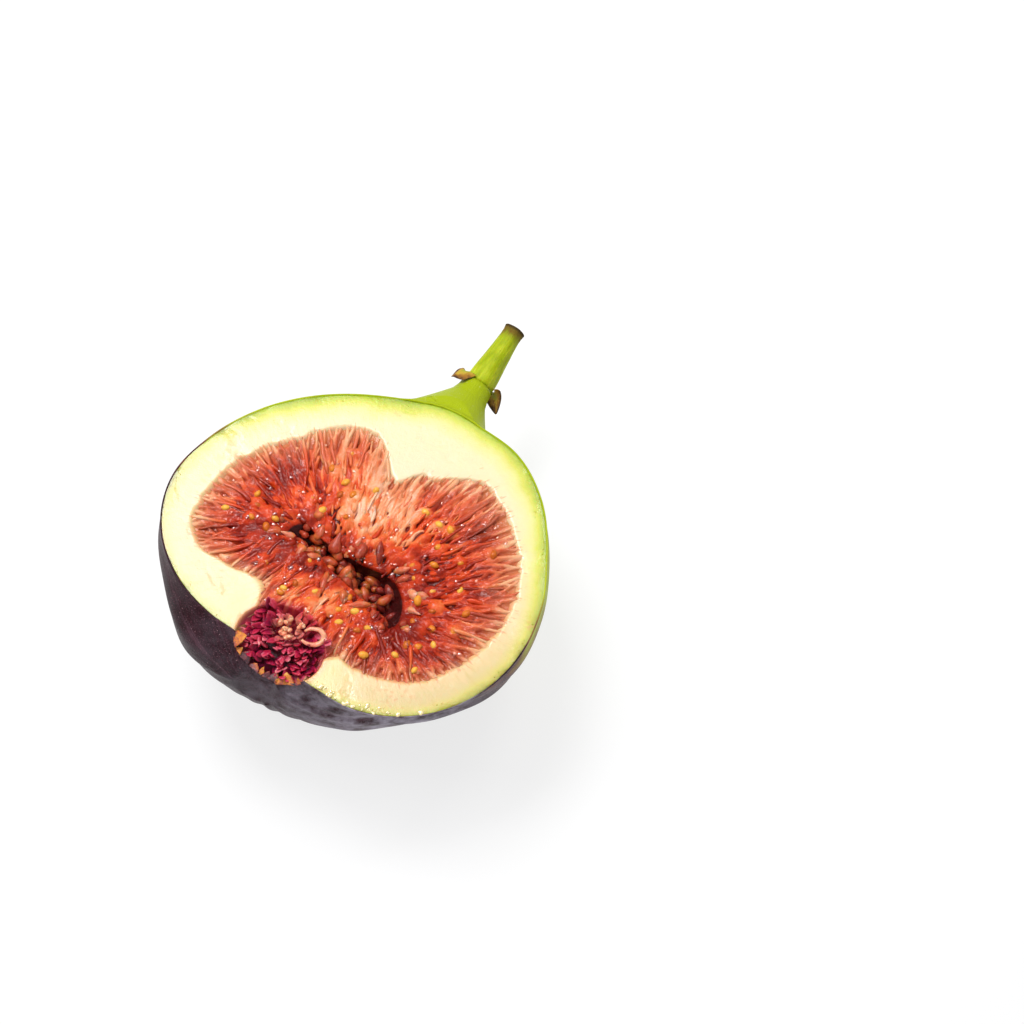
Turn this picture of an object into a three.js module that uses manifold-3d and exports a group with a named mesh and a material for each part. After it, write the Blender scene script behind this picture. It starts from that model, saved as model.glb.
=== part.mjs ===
// Half of a fresh fig, cut lengthwise and lying on its skin with the cut face up.
//
// Lengths are millimetres. Every piece is shaped in the cut's own frame: x and y lie in the cut face,
// z points out of it, and the origin is the middle of the cut. The fig's axis runs across that face
// from the eye (lower left) to the stem (upper right). The knife passed through the edge of the eye
// and beside the stem, so the stem and the neck that carries it are whole.
import * as THREE from "three";
import { mergeVertices } from "three/addons/utils/BufferGeometryUtils.js";
import Module from "manifold-3d";

const wasm = await Module();
wasm.setup();

// Driving sizes
const DEPTH = 29.5; // from the cut face to the lowest skin
const GIRTH_DEPTH = 6.5; // how far below the cut the fruit is widest
const SKIN = 0.7;
const GAP = 0.3; // between pieces that touch
const PULP_FLOOR = 7.5; // skin and flesh together, under the pulp
const AXIS_ANGLE = 58; // the stem's direction in the cut face, in degrees
const EYE_ANGLE = 234; // the eye's
const LEAN = 5; // how far the cut face leans when the half lies still, in degrees
const LEAN_ANGLE = 53; // the direction in the cut face that it leans towards
const REST_HEIGHT = 28.7; // the cut's middle above the flat spot that the half lies on

// Outlines in the cut face, as [degrees, radius] about the middle of the cut
const CUT_EDGE = [
  [0, 28.7], [20, 29.5], [35, 29.6], [48, 28.5], [60, 28.1], [72, 27.0], [85, 26.5], [100, 26.7],
  [120, 27.7], [140, 29.0], [155, 29.9], [170, 29.0], [185, 26.6], [205, 22.8], [220, 20.5],
  [237, 20.4], [254, 21.3], [270, 23.9], [285, 26.0], [305, 28.1], [325, 29.1], [345, 29.0],
];
const GIRTH_EDGE = [
  [0, 29.1], [20, 29.9], [35, 30.1], [48, 29.6], [60, 29.2], [85, 27.4], [100, 26.9], [120, 27.8],
  [140, 29.3], [155, 30.2], [170, 29.5], [185, 28.1], [205, 27.4], [220, 25.6], [237, 23.7],
  [254, 23.0], [270, 23.3], [285, 23.4], [305, 25.5], [325, 28.4], [345, 28.9],
];
const PULP_EDGE = [
  [0, 24.5], [15, 23.7], [30, 23.1], [38, 20.6], [46, 17.6], [54, 16.4], [61, 13.7], [68, 14.2],
  [74, 17.4], [81, 20.0], [95, 21.0], [115, 20.9], [133, 22.5], [150, 23.7], [165, 24.3],
  [177, 22.6], [184, 18.9], [192, 15.4], [200, 13.9], [208, 15.3], [216, 17.4], [234, 18.2],
  [251, 17.8], [262, 16.1], [271, 17.6], [281, 19.5], [292, 21.4], [310, 23.2], [326, 24.0],
  [342, 24.9], [352, 24.8],
];
// The rim of the hollow in the pulp, as [degrees of the pulp's edge that its florets come from, x, y]
const HOLLOW_RIM = [
  [5, 7.0, -4.6], [25, 5.4, -2.9], [45, 3.0, -1.7], [61, 0.9, -0.7], [80, -2.0, 1.2], [95, -4.0, 2.4],
  [110, -5.6, 3.8], [130, -7.6, 5.6], [150, -9.6, 5.3], [170, -10.2, 4.0], [190, -7.8, 2.1],
  [210, -4.8, -0.3], [228, -2.1, -3.2], [245, 0.4, -5.6], [262, 2.8, -7.9], [280, 4.7, -10.8],
  [300, 6.2, -11.4], [320, 7.4, -10.0], [340, 7.8, -7.4],
];
const HOLLOW_MIDDLE = [-0.6, -1.9];

const TURN = 360;
const rad = THREE.MathUtils.degToRad;
const lerp = THREE.MathUtils.lerp;
const ease = (t) => THREE.MathUtils.smoothstep(t, 0, 1);

// Small tools

// A smooth closed curve through [degrees, ...values] knots, as a function of degrees.
function aroundCurve(knots) {
  return (degrees) => {
    const d = ((degrees % TURN) + TURN) % TURN;
    const n = knots.length;
    let i = knots.findIndex((k) => k[0] > d);
    if (i < 0) i = n;
    const at = (j) => {
      const knot = knots[((j % n) + n) % n];
      return [knot[0] + TURN * Math.floor(j / n), ...knot.slice(1)];
    };
    const [a, b, c, e] = [at(i - 2), at(i - 1), at(i), at(i + 1)];
    const span = c[0] - b[0];
    const t = (d - b[0]) / span;
    return b.slice(1).map((_, k) => {
      const into = (span * (c[k + 1] - a[k + 1])) / (c[0] - a[0]);
      const out = (span * (e[k + 1] - b[k + 1])) / (e[0] - b[0]);
      const [p, q] = [b[k + 1], c[k + 1]];
      return p + t * (into + t * (3 * (q - p) - 2 * into - out + t * (2 * (p - q) + into + out)));
    });
  };
}

// A seeded source of numbers from 0 to 1.
function randomSource(seed) {
  let state = seed;
  return () => {
    state = (state + 0x6d2b79f5) | 0;
    let t = Math.imul(state ^ (state >>> 15), 1 | state);
    t = (t + Math.imul(t ^ (t >>> 7), 61 | t)) ^ t;
    return ((t ^ (t >>> 14)) >>> 0) / 2 ** 32;
  };
}

function toSolid(geometry) {
  const bare = new THREE.BufferGeometry();
  bare.setAttribute("position", geometry.getAttribute("position"));
  bare.setIndex(geometry.index);
  const merged = mergeVertices(bare, 1e-4);
  return new wasm.Manifold(
    new wasm.Mesh({
      numProp: 3,
      vertProperties: merged.getAttribute("position").array,
      triVerts: new Uint32Array(merged.index.array),
    }),
  );
}

function toGeometry(solid) {
  const { vertProperties, triVerts } = solid.getMesh();
  const geometry = new THREE.BufferGeometry();
  geometry.setAttribute("position", new THREE.BufferAttribute(vertProperties, 3));
  geometry.setIndex(new THREE.BufferAttribute(triVerts, 1));
  geometry.computeVertexNormals();
  return geometry;
}

// A closed solid from rings of points: each ring is joined to the next, and both ends are fanned to a point.
function ringSolid(rings, firstTip, lastTip) {
  const points = [firstTip, ...rings.flat(), lastTip];
  const n = rings[0].length;
  const last = points.length - 1;
  const at = (ring, k) => 1 + ring * n + (k % n);
  const index = [];
  for (let k = 0; k < n; k++) {
    index.push(0, at(0, k), at(0, k + 1));
    for (let ring = 0; ring + 1 < rings.length; ring++) {
      index.push(at(ring, k), at(ring + 1, k), at(ring + 1, k + 1));
      index.push(at(ring, k), at(ring + 1, k + 1), at(ring, k + 1));
    }
    index.push(at(rings.length - 1, k), last, at(rings.length - 1, k + 1));
  }
  const geometry = new THREE.BufferGeometry().setFromPoints(points);
  geometry.setIndex(index);
  return toSolid(geometry);
}

// A thin closed plate: a surface(u, v) for u and v from 0 to 1, thickened towards `inward(u, v)`.
function plateSolid(surface, inward, acrossSteps, alongSteps) {
  const points = [];
  for (const side of [0, 1])
    for (let i = 0; i <= acrossSteps; i++)
      for (let j = 0; j <= alongSteps; j++) {
        const [u, v] = [i / acrossSteps, j / alongSteps];
        points.push(surface(u, v).addScaledVector(inward(u, v), side));
      }
  const at = (side, i, j) => (side * (acrossSteps + 1) + i) * (alongSteps + 1) + j;
  const index = [];
  const quad = (a, b, c, d) => index.push(a, b, c, a, c, d);
  for (let i = 0; i < acrossSteps; i++)
    for (let j = 0; j < alongSteps; j++) {
      quad(at(0, i, j), at(0, i + 1, j), at(0, i + 1, j + 1), at(0, i, j + 1));
      quad(at(1, i, j), at(1, i, j + 1), at(1, i + 1, j + 1), at(1, i + 1, j));
    }
  for (let i = 0; i < acrossSteps; i++) {
    quad(at(0, i, 0), at(1, i, 0), at(1, i + 1, 0), at(0, i + 1, 0));
    quad(at(0, i, alongSteps), at(0, i + 1, alongSteps), at(1, i + 1, alongSteps), at(1, i, alongSteps));
  }
  for (let j = 0; j < alongSteps; j++) {
    quad(at(0, 0, j), at(0, 0, j + 1), at(1, 0, j + 1), at(1, 0, j));
    quad(at(0, acrossSteps, j), at(1, acrossSteps, j), at(1, acrossSteps, j + 1), at(0, acrossSteps, j + 1));
  }
  const geometry = new THREE.BufferGeometry().setFromPoints(points);
  geometry.setIndex(index);
  const solid = toSolid(geometry);
  if (solid.volume() > 0) return solid;
  for (let i = 0; i < index.length; i += 3) [index[i], index[i + 1]] = [index[i + 1], index[i]];
  geometry.setIndex(index);
  return toSolid(geometry);
}

// The main body of a solid, without slivers that a subtraction cut loose.
const mainBody = (solid) => solid.decompose().reduce((a, b) => (a.volume() > b.volume() ? a : b));

// The space above the cut face, which the knife took away.
const aboveCut = toSolid(new THREE.BoxGeometry(120, 120, 40).translate(0, 0, 20));
const underCut = (solid) => solid.subtract(aboveCut);

// The fruit's outer form

const cutRadius = aroundCurve(CUT_EDGE);
const girthRadius = aroundCurve(GIRTH_EDGE);
const pulpRadius = aroundCurve(PULP_EDGE);
const hollowRim = aroundCurve(HOLLOW_RIM);
const headingAt = (degrees) => new THREE.Vector3(Math.cos(rad(degrees)), Math.sin(rad(degrees)), 0);
const axis = headingAt(AXIS_ANGLE);
const across = headingAt(AXIS_ANGLE - 90);
const eyeAxis = headingAt(EYE_ANGLE);
const eyeAcross = headingAt(EYE_ANGLE + 90);
const leanPivot = headingAt(LEAN_ANGLE + 90);

// Shallow ribs run from the neck to the eye: this is their height at a point of the skin.
const RIB_COUNT = 22;
const RIB_HEIGHT = 0.32;
function ribAt(point) {
  const turn = Math.atan2(point.dot(across), -point.z - 3);
  const along = point.dot(axis) / 30;
  const uneven = 0.6 + 0.4 * Math.sin(5 * turn + 1.3);
  const fade = Math.max(0, 1 - along * along);
  return RIB_HEIGHT * uneven * fade * Math.cos(RIB_COUNT * turn + 1.6 * Math.sin(3 * turn));
}

// The plane of the surface that the half lies on, `inset` above it, in the cut's frame.
const upright = new THREE.Vector3(0, 0, 1).applyAxisAngle(leanPivot, -rad(LEAN));
function liftOntoFloor(point, inset) {
  const under = -REST_HEIGHT + inset - point.dot(upright);
  return under > 0 ? point.addScaledVector(upright, under) : point;
}

// A point of the fruit's skin, or of a layer `inset` inside it.
// Level 0 is the cut, 1 the girth and 2 the bottom.
const MEAN_RADIUS = 27.2;
const ROUNDING = 0.8; // how far the outline turns into a circle at the bottom
function bodyPoint(degrees, level, inset) {
  const t = rad(degrees);
  const [cut] = cutRadius(degrees);
  const [girth] = girthRadius(degrees);
  const upper = rad(90 * Math.min(1, level));
  const slope = rad(90 * Math.max(0, level - 1));
  // The flank between the cut and the girth leans out, so a layer of even thickness is wider there.
  const flank = ((girth - cut) / GIRTH_DEPTH) * (Math.PI / 2) * Math.cos(upper);
  const sideInset = inset * Math.hypot(1, flank);
  const round = lerp(girth, MEAN_RADIUS, ROUNDING * ease(Math.max(0, level - 1)));
  const upperRadius = lerp(cut, girth, Math.sin(upper)) - sideInset;
  const radius = level < 1 ? upperRadius : (round - inset) * Math.cos(slope);
  const z = -GIRTH_DEPTH * Math.min(1, level) - (DEPTH - GIRTH_DEPTH - inset) * Math.sin(slope);
  const point = new THREE.Vector3(radius * Math.cos(t), radius * Math.sin(t), z);
  const scale = 1 + ribAt(point) / MEAN_RADIUS;
  point.x *= scale;
  point.y *= scale;
  return liftOntoFloor(point, inset);
}

const BODY_SIDES = 62;
const BODY_LEVELS = [0, 0.3, 0.62, 1, 1.18, 1.36, 1.54, 1.7, 1.84];
function bodySolid(inset) {
  const ring = (level, lift) =>
    Array.from({ length: BODY_SIDES }, (_, k) => {
      const point = bodyPoint((TURN * k) / BODY_SIDES, level, inset);
      return point.setZ(point.z + lift);
    });
  const rings = [ring(0, 1), ...BODY_LEVELS.map((level) => ring(level, 0))];
  return underCut(ringSolid(rings, new THREE.Vector3(0, 0, 1), bodyPoint(0, 2, inset)));
}

// The neck, a funnel that narrows from the fruit's shoulder to the stem.
const NECK_END = new THREE.Vector3(18.4, 31.2, -6);
const NECK_SIDES = 20;
const NECK_ROOT = -15; // where the funnel starts inside the fruit, along its own axis from its end
const NECK_PROFILE = [
  [8.4, -12.5], [7.8, -10], [6.5, -7.8], [5.25, -6], [4.05, -4.2], [3.1, -2.7], [2.65, -1.3], [2.55, 0],
];

function turnedSolid(profile, sides, direction, end) {
  const geometry = new THREE.LatheGeometry(
    profile.map(([radius, along]) => new THREE.Vector2(radius, along)),
    sides,
  );
  geometry.applyQuaternion(new THREE.Quaternion().setFromUnitVectors(new THREE.Vector3(0, 1, 0), direction));
  geometry.translate(end.x, end.y, end.z);
  return toSolid(geometry);
}

function neckSolid(inset) {
  const profile = NECK_PROFILE.map(([radius, along]) => [radius - inset, along]);
  const end = NECK_END.clone().addScaledVector(axis, -inset);
  return underCut(turnedSolid([[0, NECK_ROOT], ...profile, [0, 0]], NECK_SIDES, axis, end));
}

const fruitSolid = (inset) => bodySolid(inset).add(neckSolid(inset));

// The eye: a shallow dish in the cut face that reaches out through the skin.
const EYE_MIDDLE = 17.4; // from the cut's middle to the dish's
const EYE_HALF = { along: 5.7, across: 6.9, deep: 3.6 };
function eyeDish(inset) {
  const geometry = new THREE.SphereGeometry(1, 28, 16);
  geometry.scale(EYE_HALF.along - inset, EYE_HALF.across - inset, EYE_HALF.deep - inset);
  geometry.rotateZ(rad(EYE_ANGLE));
  geometry.translate(eyeAxis.x * EYE_MIDDLE, eyeAxis.y * EYE_MIDDLE, 0);
  return toSolid(geometry);
}

// Skin and flesh

const skin = fruitSolid(0).subtract(fruitSolid(SKIN).add(aboveCut)).subtract(eyeDish(0));

// The pulp's underside is a rounder, smaller copy of the fruit.
const PULP_MEAN = 19;
const PULP_SIDES = 116;
const PULP_SLOPES = [0, 20, 42, 64]; // degrees down from the cut, round to the lowest pulp
function pulpUnderPoint(degrees, slopeDegrees, inset) {
  const t = rad(degrees);
  const slope = rad(slopeDegrees);
  const round = lerp(pulpRadius(degrees)[0], PULP_MEAN, ease(slopeDegrees / 60));
  const radius = (round - inset) * Math.cos(slope);
  const z = -(DEPTH - PULP_FLOOR - inset) * Math.sin(slope);
  return new THREE.Vector3(radius * Math.cos(t), radius * Math.sin(t), z);
}
const aroundPulp = (make) => Array.from({ length: PULP_SIDES }, (_, k) => make((TURN * k) / PULP_SIDES));
const pulpUnderRings = (inset) =>
  PULP_SLOPES.map((slope) => aroundPulp((degrees) => pulpUnderPoint(degrees, slope, inset)));

function pulpHollowInFlesh() {
  const rings = pulpUnderRings(0);
  const raised = rings[0].map((point) => point.clone().setZ(1));
  return ringSolid([raised, ...rings], new THREE.Vector3(0, 0, 1), pulpUnderPoint(0, 90, 0));
}

const flesh = fruitSolid(SKIN + GAP).subtract(pulpHollowInFlesh()).subtract(eyeDish(0));

// Pulp: florets lie side by side from the flesh to the hollow, as ridges on the pulp's face

const RIDGE_COUNT = 30;
const RIDGE_HEIGHT = 0.34;
const FACE_UNDER_CUT = 0.35;
const HOLLOW_DEPTH = 7.5;
const HOLLOW_RINGS = [[0.82, 0.28], [0.6, 0.62], [0.35, 0.88]]; // [share of the rim's size, of the depth]
const HOLLOW_MOUTH = 1; // how far the florets sink round the hollow
const FACE_RINGS = [0.95, 0.84, 0.68, 0.5, 0.33, 0.18, 0.07, 0];

// A point of the pulp's face. Share 1 is at the flesh and 0 at the hollow's rim.
function facePoint(degrees, share, inset) {
  const t = rad(degrees);
  const edge = pulpRadius(degrees)[0] - inset;
  const [x, y] = hollowRim(degrees);
  const phase = RIDGE_COUNT * t + 2.4 * Math.sin(5 * t + 0.7) + 1.8 * share;
  const fade = Math.min(1, (1 - share) * 7) * Math.min(1, 0.25 + share * 3);
  const sag = 0.5 * (1 - ease(share / 0.35));
  const z = -FACE_UNDER_CUT + RIDGE_HEIGHT * fade * Math.cos(phase) - sag;
  return new THREE.Vector3(lerp(x, edge * Math.cos(t), share), lerp(y, edge * Math.sin(t), share), z);
}

function hollowPoint(degrees, size, deep) {
  const [x, y] = hollowRim(degrees);
  const [mx, my] = HOLLOW_MIDDLE;
  return new THREE.Vector3(lerp(mx, x, size), lerp(my, y, size), -lerp(HOLLOW_MOUTH, HOLLOW_DEPTH, deep));
}

function pulpBase() {
  const hollow = HOLLOW_RINGS.map(([size, deep]) => aroundPulp((turn) => hollowPoint(turn, size, deep)));
  const face = FACE_RINGS.map((share) => aroundPulp((degrees) => facePoint(degrees, share, GAP)));
  const under = pulpUnderRings(GAP);
  under[0].forEach((point) => point.setZ(-FACE_UNDER_CUT - 0.1));
  return ringSolid(
    [...hollow.reverse(), ...face.reverse(), ...under],
    new THREE.Vector3(...HOLLOW_MIDDLE, -HOLLOW_DEPTH),
    pulpUnderPoint(0, 90, GAP),
  );
}

// An egg-shaped grain with its long side along `heading`.
function grain(middle, heading, halfLength, halfWidth, sides) {
  const geometry = new THREE.SphereGeometry(1, sides, sides - 2).scale(halfWidth, halfLength, halfWidth);
  geometry.applyQuaternion(new THREE.Quaternion().setFromUnitVectors(new THREE.Vector3(0, 1, 0), heading));
  geometry.translate(middle.x, middle.y, middle.z);
  return toSolid(geometry);
}

// Places scattered over the face by [degrees, share], each clear of the ones before it.
function scatter(random, count, clear, lowShare, highShare) {
  const places = [];
  for (let tries = 0; places.length < count && tries < 40 * count; tries++) {
    const [degrees, share] = [TURN * random(), lerp(lowShare, highShare, random())];
    const point = facePoint(degrees, share, GAP);
    const inEye = point.clone().addScaledVector(eyeAxis, -EYE_MIDDLE).length() < EYE_HALF.across + 1;
    if (!inEye && places.every((place) => place.point.distanceTo(point) > clear))
      places.push({ degrees, share, point });
  }
  return places;
}

const PULP_SEED = 7; // of the random places
const SEEDS = { count: 48, clear: 2.3, from: 0.22, to: 0.86, long: 0.8, wide: 0.6, raise: 0.1, sides: 5 };
const DRUPELETS = { count: 26, clear: 2.1, from: -0.03, to: 0.17, long: 1.5, wide: 1, raise: 0, sides: 6 };
function scatterGrains(random, kind) {
  return scatter(random, kind.count, kind.clear, kind.from, kind.to).map(({ degrees, share, point }) => {
    const flow = facePoint(degrees, share + 0.05, GAP).sub(point).setZ(0).normalize();
    return grain(point.clone().setZ(point.z + kind.raise), flow, kind.long, kind.wide, kind.sides);
  });
}
function pulpSolid() {
  const random = randomSource(PULP_SEED);
  const grains = [...scatterGrains(random, DRUPELETS), ...scatterGrains(random, SEEDS)];
  return grains.reduce((solid, part) => solid.add(part), pulpBase()).subtract(eyeDish(0));
}
const pulp = pulpSolid();

// The eye's scales: rings of small pointed scales round the eye's heart, on a bed that fills the dish

const SCALE_RINGS = [[1.4, 5], [3.0, 9], [4.7, 13], [6.4, 16]]; // [distance from the heart, scales]
const SCALE_HALF = { wide: 0.95, long: 1.7, thick: 0.5 };
const SCALE_LIFT = 24; // degrees that a scale's tip stands up
const EYE_HEART = 14.6; // from the cut's middle
const BED_TOP = -0.75; // at the heart
const BED_FALL = 10; // degrees that the bed falls towards the skin

function bedHeight(point) {
  return BED_TOP - Math.tan(rad(BED_FALL)) * (point.dot(eyeAxis) - EYE_HEART);
}

function scaleSolid(turn, distance) {
  const out = headingAt(turn);
  const middle = eyeAxis.clone().multiplyScalar(EYE_HEART).addScaledVector(out, distance);
  const geometry = new THREE.SphereGeometry(1, 5, 3);
  geometry.scale(SCALE_HALF.long, SCALE_HALF.wide, SCALE_HALF.thick);
  geometry.rotateY(-rad(SCALE_LIFT));
  geometry.rotateZ(rad(turn));
  geometry.translate(middle.x, middle.y, bedHeight(middle) + 0.1);
  return toSolid(geometry);
}

function eyeScalesSolid() {
  const above = new THREE.BoxGeometry(60, 60, 20).translate(0, 0, 10).rotateY(rad(BED_FALL));
  above.translate(EYE_HEART, 0, BED_TOP).rotateZ(rad(EYE_ANGLE));
  const bed = eyeDish(GAP).subtract(toSolid(above));
  const scales = SCALE_RINGS.flatMap(([distance, count], ring) =>
    Array.from({ length: count }, (_, k) => scaleSolid((TURN * (k + 0.5 * (ring % 2))) / count, distance)),
  );
  return scales.reduce((solid, scale) => solid.add(scale), bed).intersect(eyeDish(GAP));
}

// Dry scale tips stand where the eye breaks the skin, as one toothed collar inside the dish's outer edge.
const COLLAR_HALF_TURN = 64; // degrees each way round the dish, from its outermost point
const COLLAR_THICK = 0.6;
const COLLAR_ROOT = 0.75; // how far the collar reaches down from the skin's edge
const TIP_COUNT = 8;
const TIP_RISE = 1.1;
function dishWallPoint(turn, z, inset) {
  const deep = EYE_HALF.deep - inset;
  const size = Math.sqrt(Math.max(0, 1 - (z / deep) ** 2));
  return eyeAxis
    .clone()
    .multiplyScalar(EYE_MIDDLE + (EYE_HALF.along - inset) * size * Math.cos(rad(turn)))
    .addScaledVector(eyeAcross, (EYE_HALF.across - inset) * size * Math.sin(rad(turn)))
    .setZ(z);
}
const SKIN_EDGE = { deep: 2.35, halfTurn: 70 }; // where the skin's edge crosses the dish
const skinEdgeInDish = (turn) => -SKIN_EDGE.deep * Math.cos(rad((turn * 90) / SKIN_EDGE.halfTurn));
function collarPlate(inset, thick, low, high) {
  const surface = (u, v) => {
    const turn = lerp(-COLLAR_HALF_TURN, COLLAR_HALF_TURN, u);
    return dishWallPoint(turn, skinEdgeInDish(turn) + lerp(-low, high(u), v), inset);
  };
  const inward = (u) => {
    const turn = lerp(-COLLAR_HALF_TURN, COLLAR_HALF_TURN, u);
    return headingAt(EYE_ANGLE + turn).multiplyScalar(-thick);
  };
  return plateSolid(surface, inward, 4 * TIP_COUNT, 3);
}
const tipHeight = (u) => 0.25 + TIP_RISE * Math.abs(Math.sin(Math.PI * TIP_COUNT * u)) ** 1.5;
const eyeRim = collarPlate(GAP, COLLAR_THICK, COLLAR_ROOT, tipHeight);
// The scales leave room for the collar, which starts a little outside it so that the cut is clean.
const OVERCUT = 0.2;
const roomThick = COLLAR_THICK + GAP + OVERCUT;
const collarRoom = collarPlate(GAP - OVERCUT, roomThick, COLLAR_ROOT + GAP, () => TIP_RISE + 2);
const eyeScales = mainBody(eyeScalesSolid().subtract(collarRoom));

// Stem and bracts

const STEM_RISE = 9; // degrees above the cut's plane
const STEM_SIDES = 20;
const STEM_START = 0.45; // the joint's width, between the neck's end and the stem's
const STEM_PROFILE = [
  [0, 0], [2.15, 0], [2.35, 0.5], [2.3, 1.6], [2.15, 3.2], [1.95, 5], [1.75, 7], [1.6, 8.8], [1.6, 9.8],
  [1.72, 10.4], [1.6, 10.65], [0.9, 10.5], [0, 10.45],
];
const stemAxis = axis.clone().multiplyScalar(Math.cos(rad(STEM_RISE))).setZ(Math.sin(rad(STEM_RISE)));
const stemRoot = NECK_END.clone().addScaledVector(axis, STEM_START);
const stem = turnedSolid(STEM_PROFILE, STEM_SIDES, stemAxis, stemRoot);

// Three bracts stand round the joint of neck and stem, each a small scale bent outwards and back.
const BRACTS = [[150, 2.7], [242, 2.8], [334, 3.4]]; // [degrees round the stem from its side, length]
const BRACT_RING = 2.7; // the radius that their roots lie on
const BRACT_HALF_TURN = 44; // degrees of the joint that half a bract's root covers
const BRACT_THICK = 0.6;
const sideOfStem = new THREE.Vector3().crossVectors(stemAxis, new THREE.Vector3(0, 0, 1)).normalize();
const topOfStem = new THREE.Vector3().crossVectors(sideOfStem, stemAxis);
function bractSolid([middleTurn, length]) {
  const surface = (u, v) => {
    const turn = middleTurn + BRACT_HALF_TURN * (2 * u - 1) * (1 - 0.9 * v ** 1.3);
    const out = BRACT_RING + length * (0.72 * v - 0.1 * v * v);
    const back = 0.35 - length * (0.1 * v + 0.62 * v * v);
    return stemRoot
      .clone()
      .addScaledVector(sideOfStem, out * Math.cos(rad(turn)))
      .addScaledVector(topOfStem, out * Math.sin(rad(turn)))
      .addScaledVector(stemAxis, back);
  };
  return plateSolid(surface, () => stemAxis.clone().multiplyScalar(BRACT_THICK), 6, 4);
}

// Assembly

const finish = (color, roughness) => new THREE.MeshStandardMaterial({ color, roughness, metalness: 0 });
const finishes = {
  skin: finish(0x3d2530, 0.45),
  flesh: finish(0xf3ecb4, 0.5),
  pulp: finish(0xb5482f, 0.3),
  eyeScale: finish(0x8e1f45, 0.4),
  dryTip: finish(0xb5742e, 0.8),
  stem: finish(0x9cb52a, 0.5),
  bract: finish(0x9a6b25, 0.7),
};

const half = new THREE.Group();
half.quaternion.setFromAxisAngle(leanPivot, rad(LEAN));
function addPiece(name, solid, material) {
  const mesh = new THREE.Mesh(toGeometry(solid), material);
  mesh.name = name;
  half.add(mesh);
}
addPiece("skin", skin, finishes.skin);
addPiece("flesh", flesh, finishes.flesh);
addPiece("floret_pulp", pulp, finishes.pulp);
addPiece("eye_scales", eyeScales, finishes.eyeScale);
addPiece("eye_rim_scales", eyeRim, finishes.dryTip);
addPiece("stem", stem, finishes.stem);
BRACTS.forEach((bract, k) => addPiece(`bract_${k + 1}`, bractSolid(bract), finishes.bract));

// The part's origin is under the middle of its outer box, on the surface that it lies on.
const fig = new THREE.Group();
fig.add(half);
fig.updateMatrixWorld(true);
const box = new THREE.Box3().setFromObject(fig, true);
half.position.set(-(box.min.x + box.max.x) / 2, -(box.min.y + box.max.y) / 2, -box.min.z);
fig.updateMatrixWorld(true);

export default fig;
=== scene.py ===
# %% [markdown]
# # Half a fresh fig
# A fig is a flower turned inside out. The pale wall is the stem's swollen end, and the red pulp is some
# hundreds of tiny florets that grow inwards from it, each with a seed. Small scales close the eye at the
# far end from the stem. Here the fruit is cut lengthwise and lies on its skin.
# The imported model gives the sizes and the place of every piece, so the script starts from it.

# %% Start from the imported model
import math

import bmesh
import bpy
import numpy as np
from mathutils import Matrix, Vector


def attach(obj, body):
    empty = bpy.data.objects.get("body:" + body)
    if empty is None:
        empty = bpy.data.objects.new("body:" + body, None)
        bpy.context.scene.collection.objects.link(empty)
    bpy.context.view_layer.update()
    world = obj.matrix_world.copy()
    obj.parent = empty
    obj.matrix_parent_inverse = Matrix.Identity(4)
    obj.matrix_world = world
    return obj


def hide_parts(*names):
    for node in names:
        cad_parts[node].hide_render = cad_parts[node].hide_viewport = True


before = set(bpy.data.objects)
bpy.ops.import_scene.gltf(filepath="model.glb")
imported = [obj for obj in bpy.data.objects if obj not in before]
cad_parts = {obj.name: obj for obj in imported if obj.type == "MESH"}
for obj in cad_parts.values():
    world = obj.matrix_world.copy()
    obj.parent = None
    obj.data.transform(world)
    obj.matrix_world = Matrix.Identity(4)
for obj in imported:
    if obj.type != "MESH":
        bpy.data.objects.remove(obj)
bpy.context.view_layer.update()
scene = bpy.context.scene

# %% [markdown]
# ## The cut's own frame
# Every shape of this fruit is easiest to describe from the cut face: x and y lie in it, z points out of it,
# and lengths are millimetres. One function turns such points into the model's frame, which is in metres and
# has the face lean a little towards the stem.

# %% The cut's frame
CUT_MIDDLE = np.array([0.22, -7.90, 28.7])
LEAN = math.radians(5)
LEAN_ANGLE = 53


def heading(degrees):
    turn = np.radians(degrees)
    return np.stack([np.cos(turn), np.sin(turn), np.zeros_like(turn)], -1)


def turn_about(pivot, angle):
    x, y, z = pivot
    cross = np.array([[0, -z, y], [z, 0, -x], [-y, x, 0]])
    return np.eye(3) + math.sin(angle) * cross + (1 - math.cos(angle)) * cross @ cross


TILT = turn_about(heading(LEAN_ANGLE + 90.0), LEAN)


def to_model(points):
    return (np.asarray(points, float) @ TILT.T + CUT_MIDDLE) * 0.001


def polar(turn, radius, height):
    """Points by their turn about an axis, in radians, their distance from it and their height along it."""
    return np.stack(np.broadcast_arrays(radius * np.cos(turn), radius * np.sin(turn), height), -1)


AXIS = heading(58.0)
SIDE = heading(-32.0)
EYE_AXIS = heading(234.0)
EYE_ACROSS = heading(324.0)
UP = np.array([0.0, 0.0, 1.0])
print("the face points to", np.round(TILT @ UP, 3))

# %% [markdown]
# ## Outlines
# Three closed curves are read off the cut: its edge, the edge of the pulp and the rim of the hollow. A fourth
# is the girth, a little under the cut, where the fruit is widest. Each is a list of angle and radius, with
# smooth curves between: few numbers, and easy to change by hand.

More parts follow.
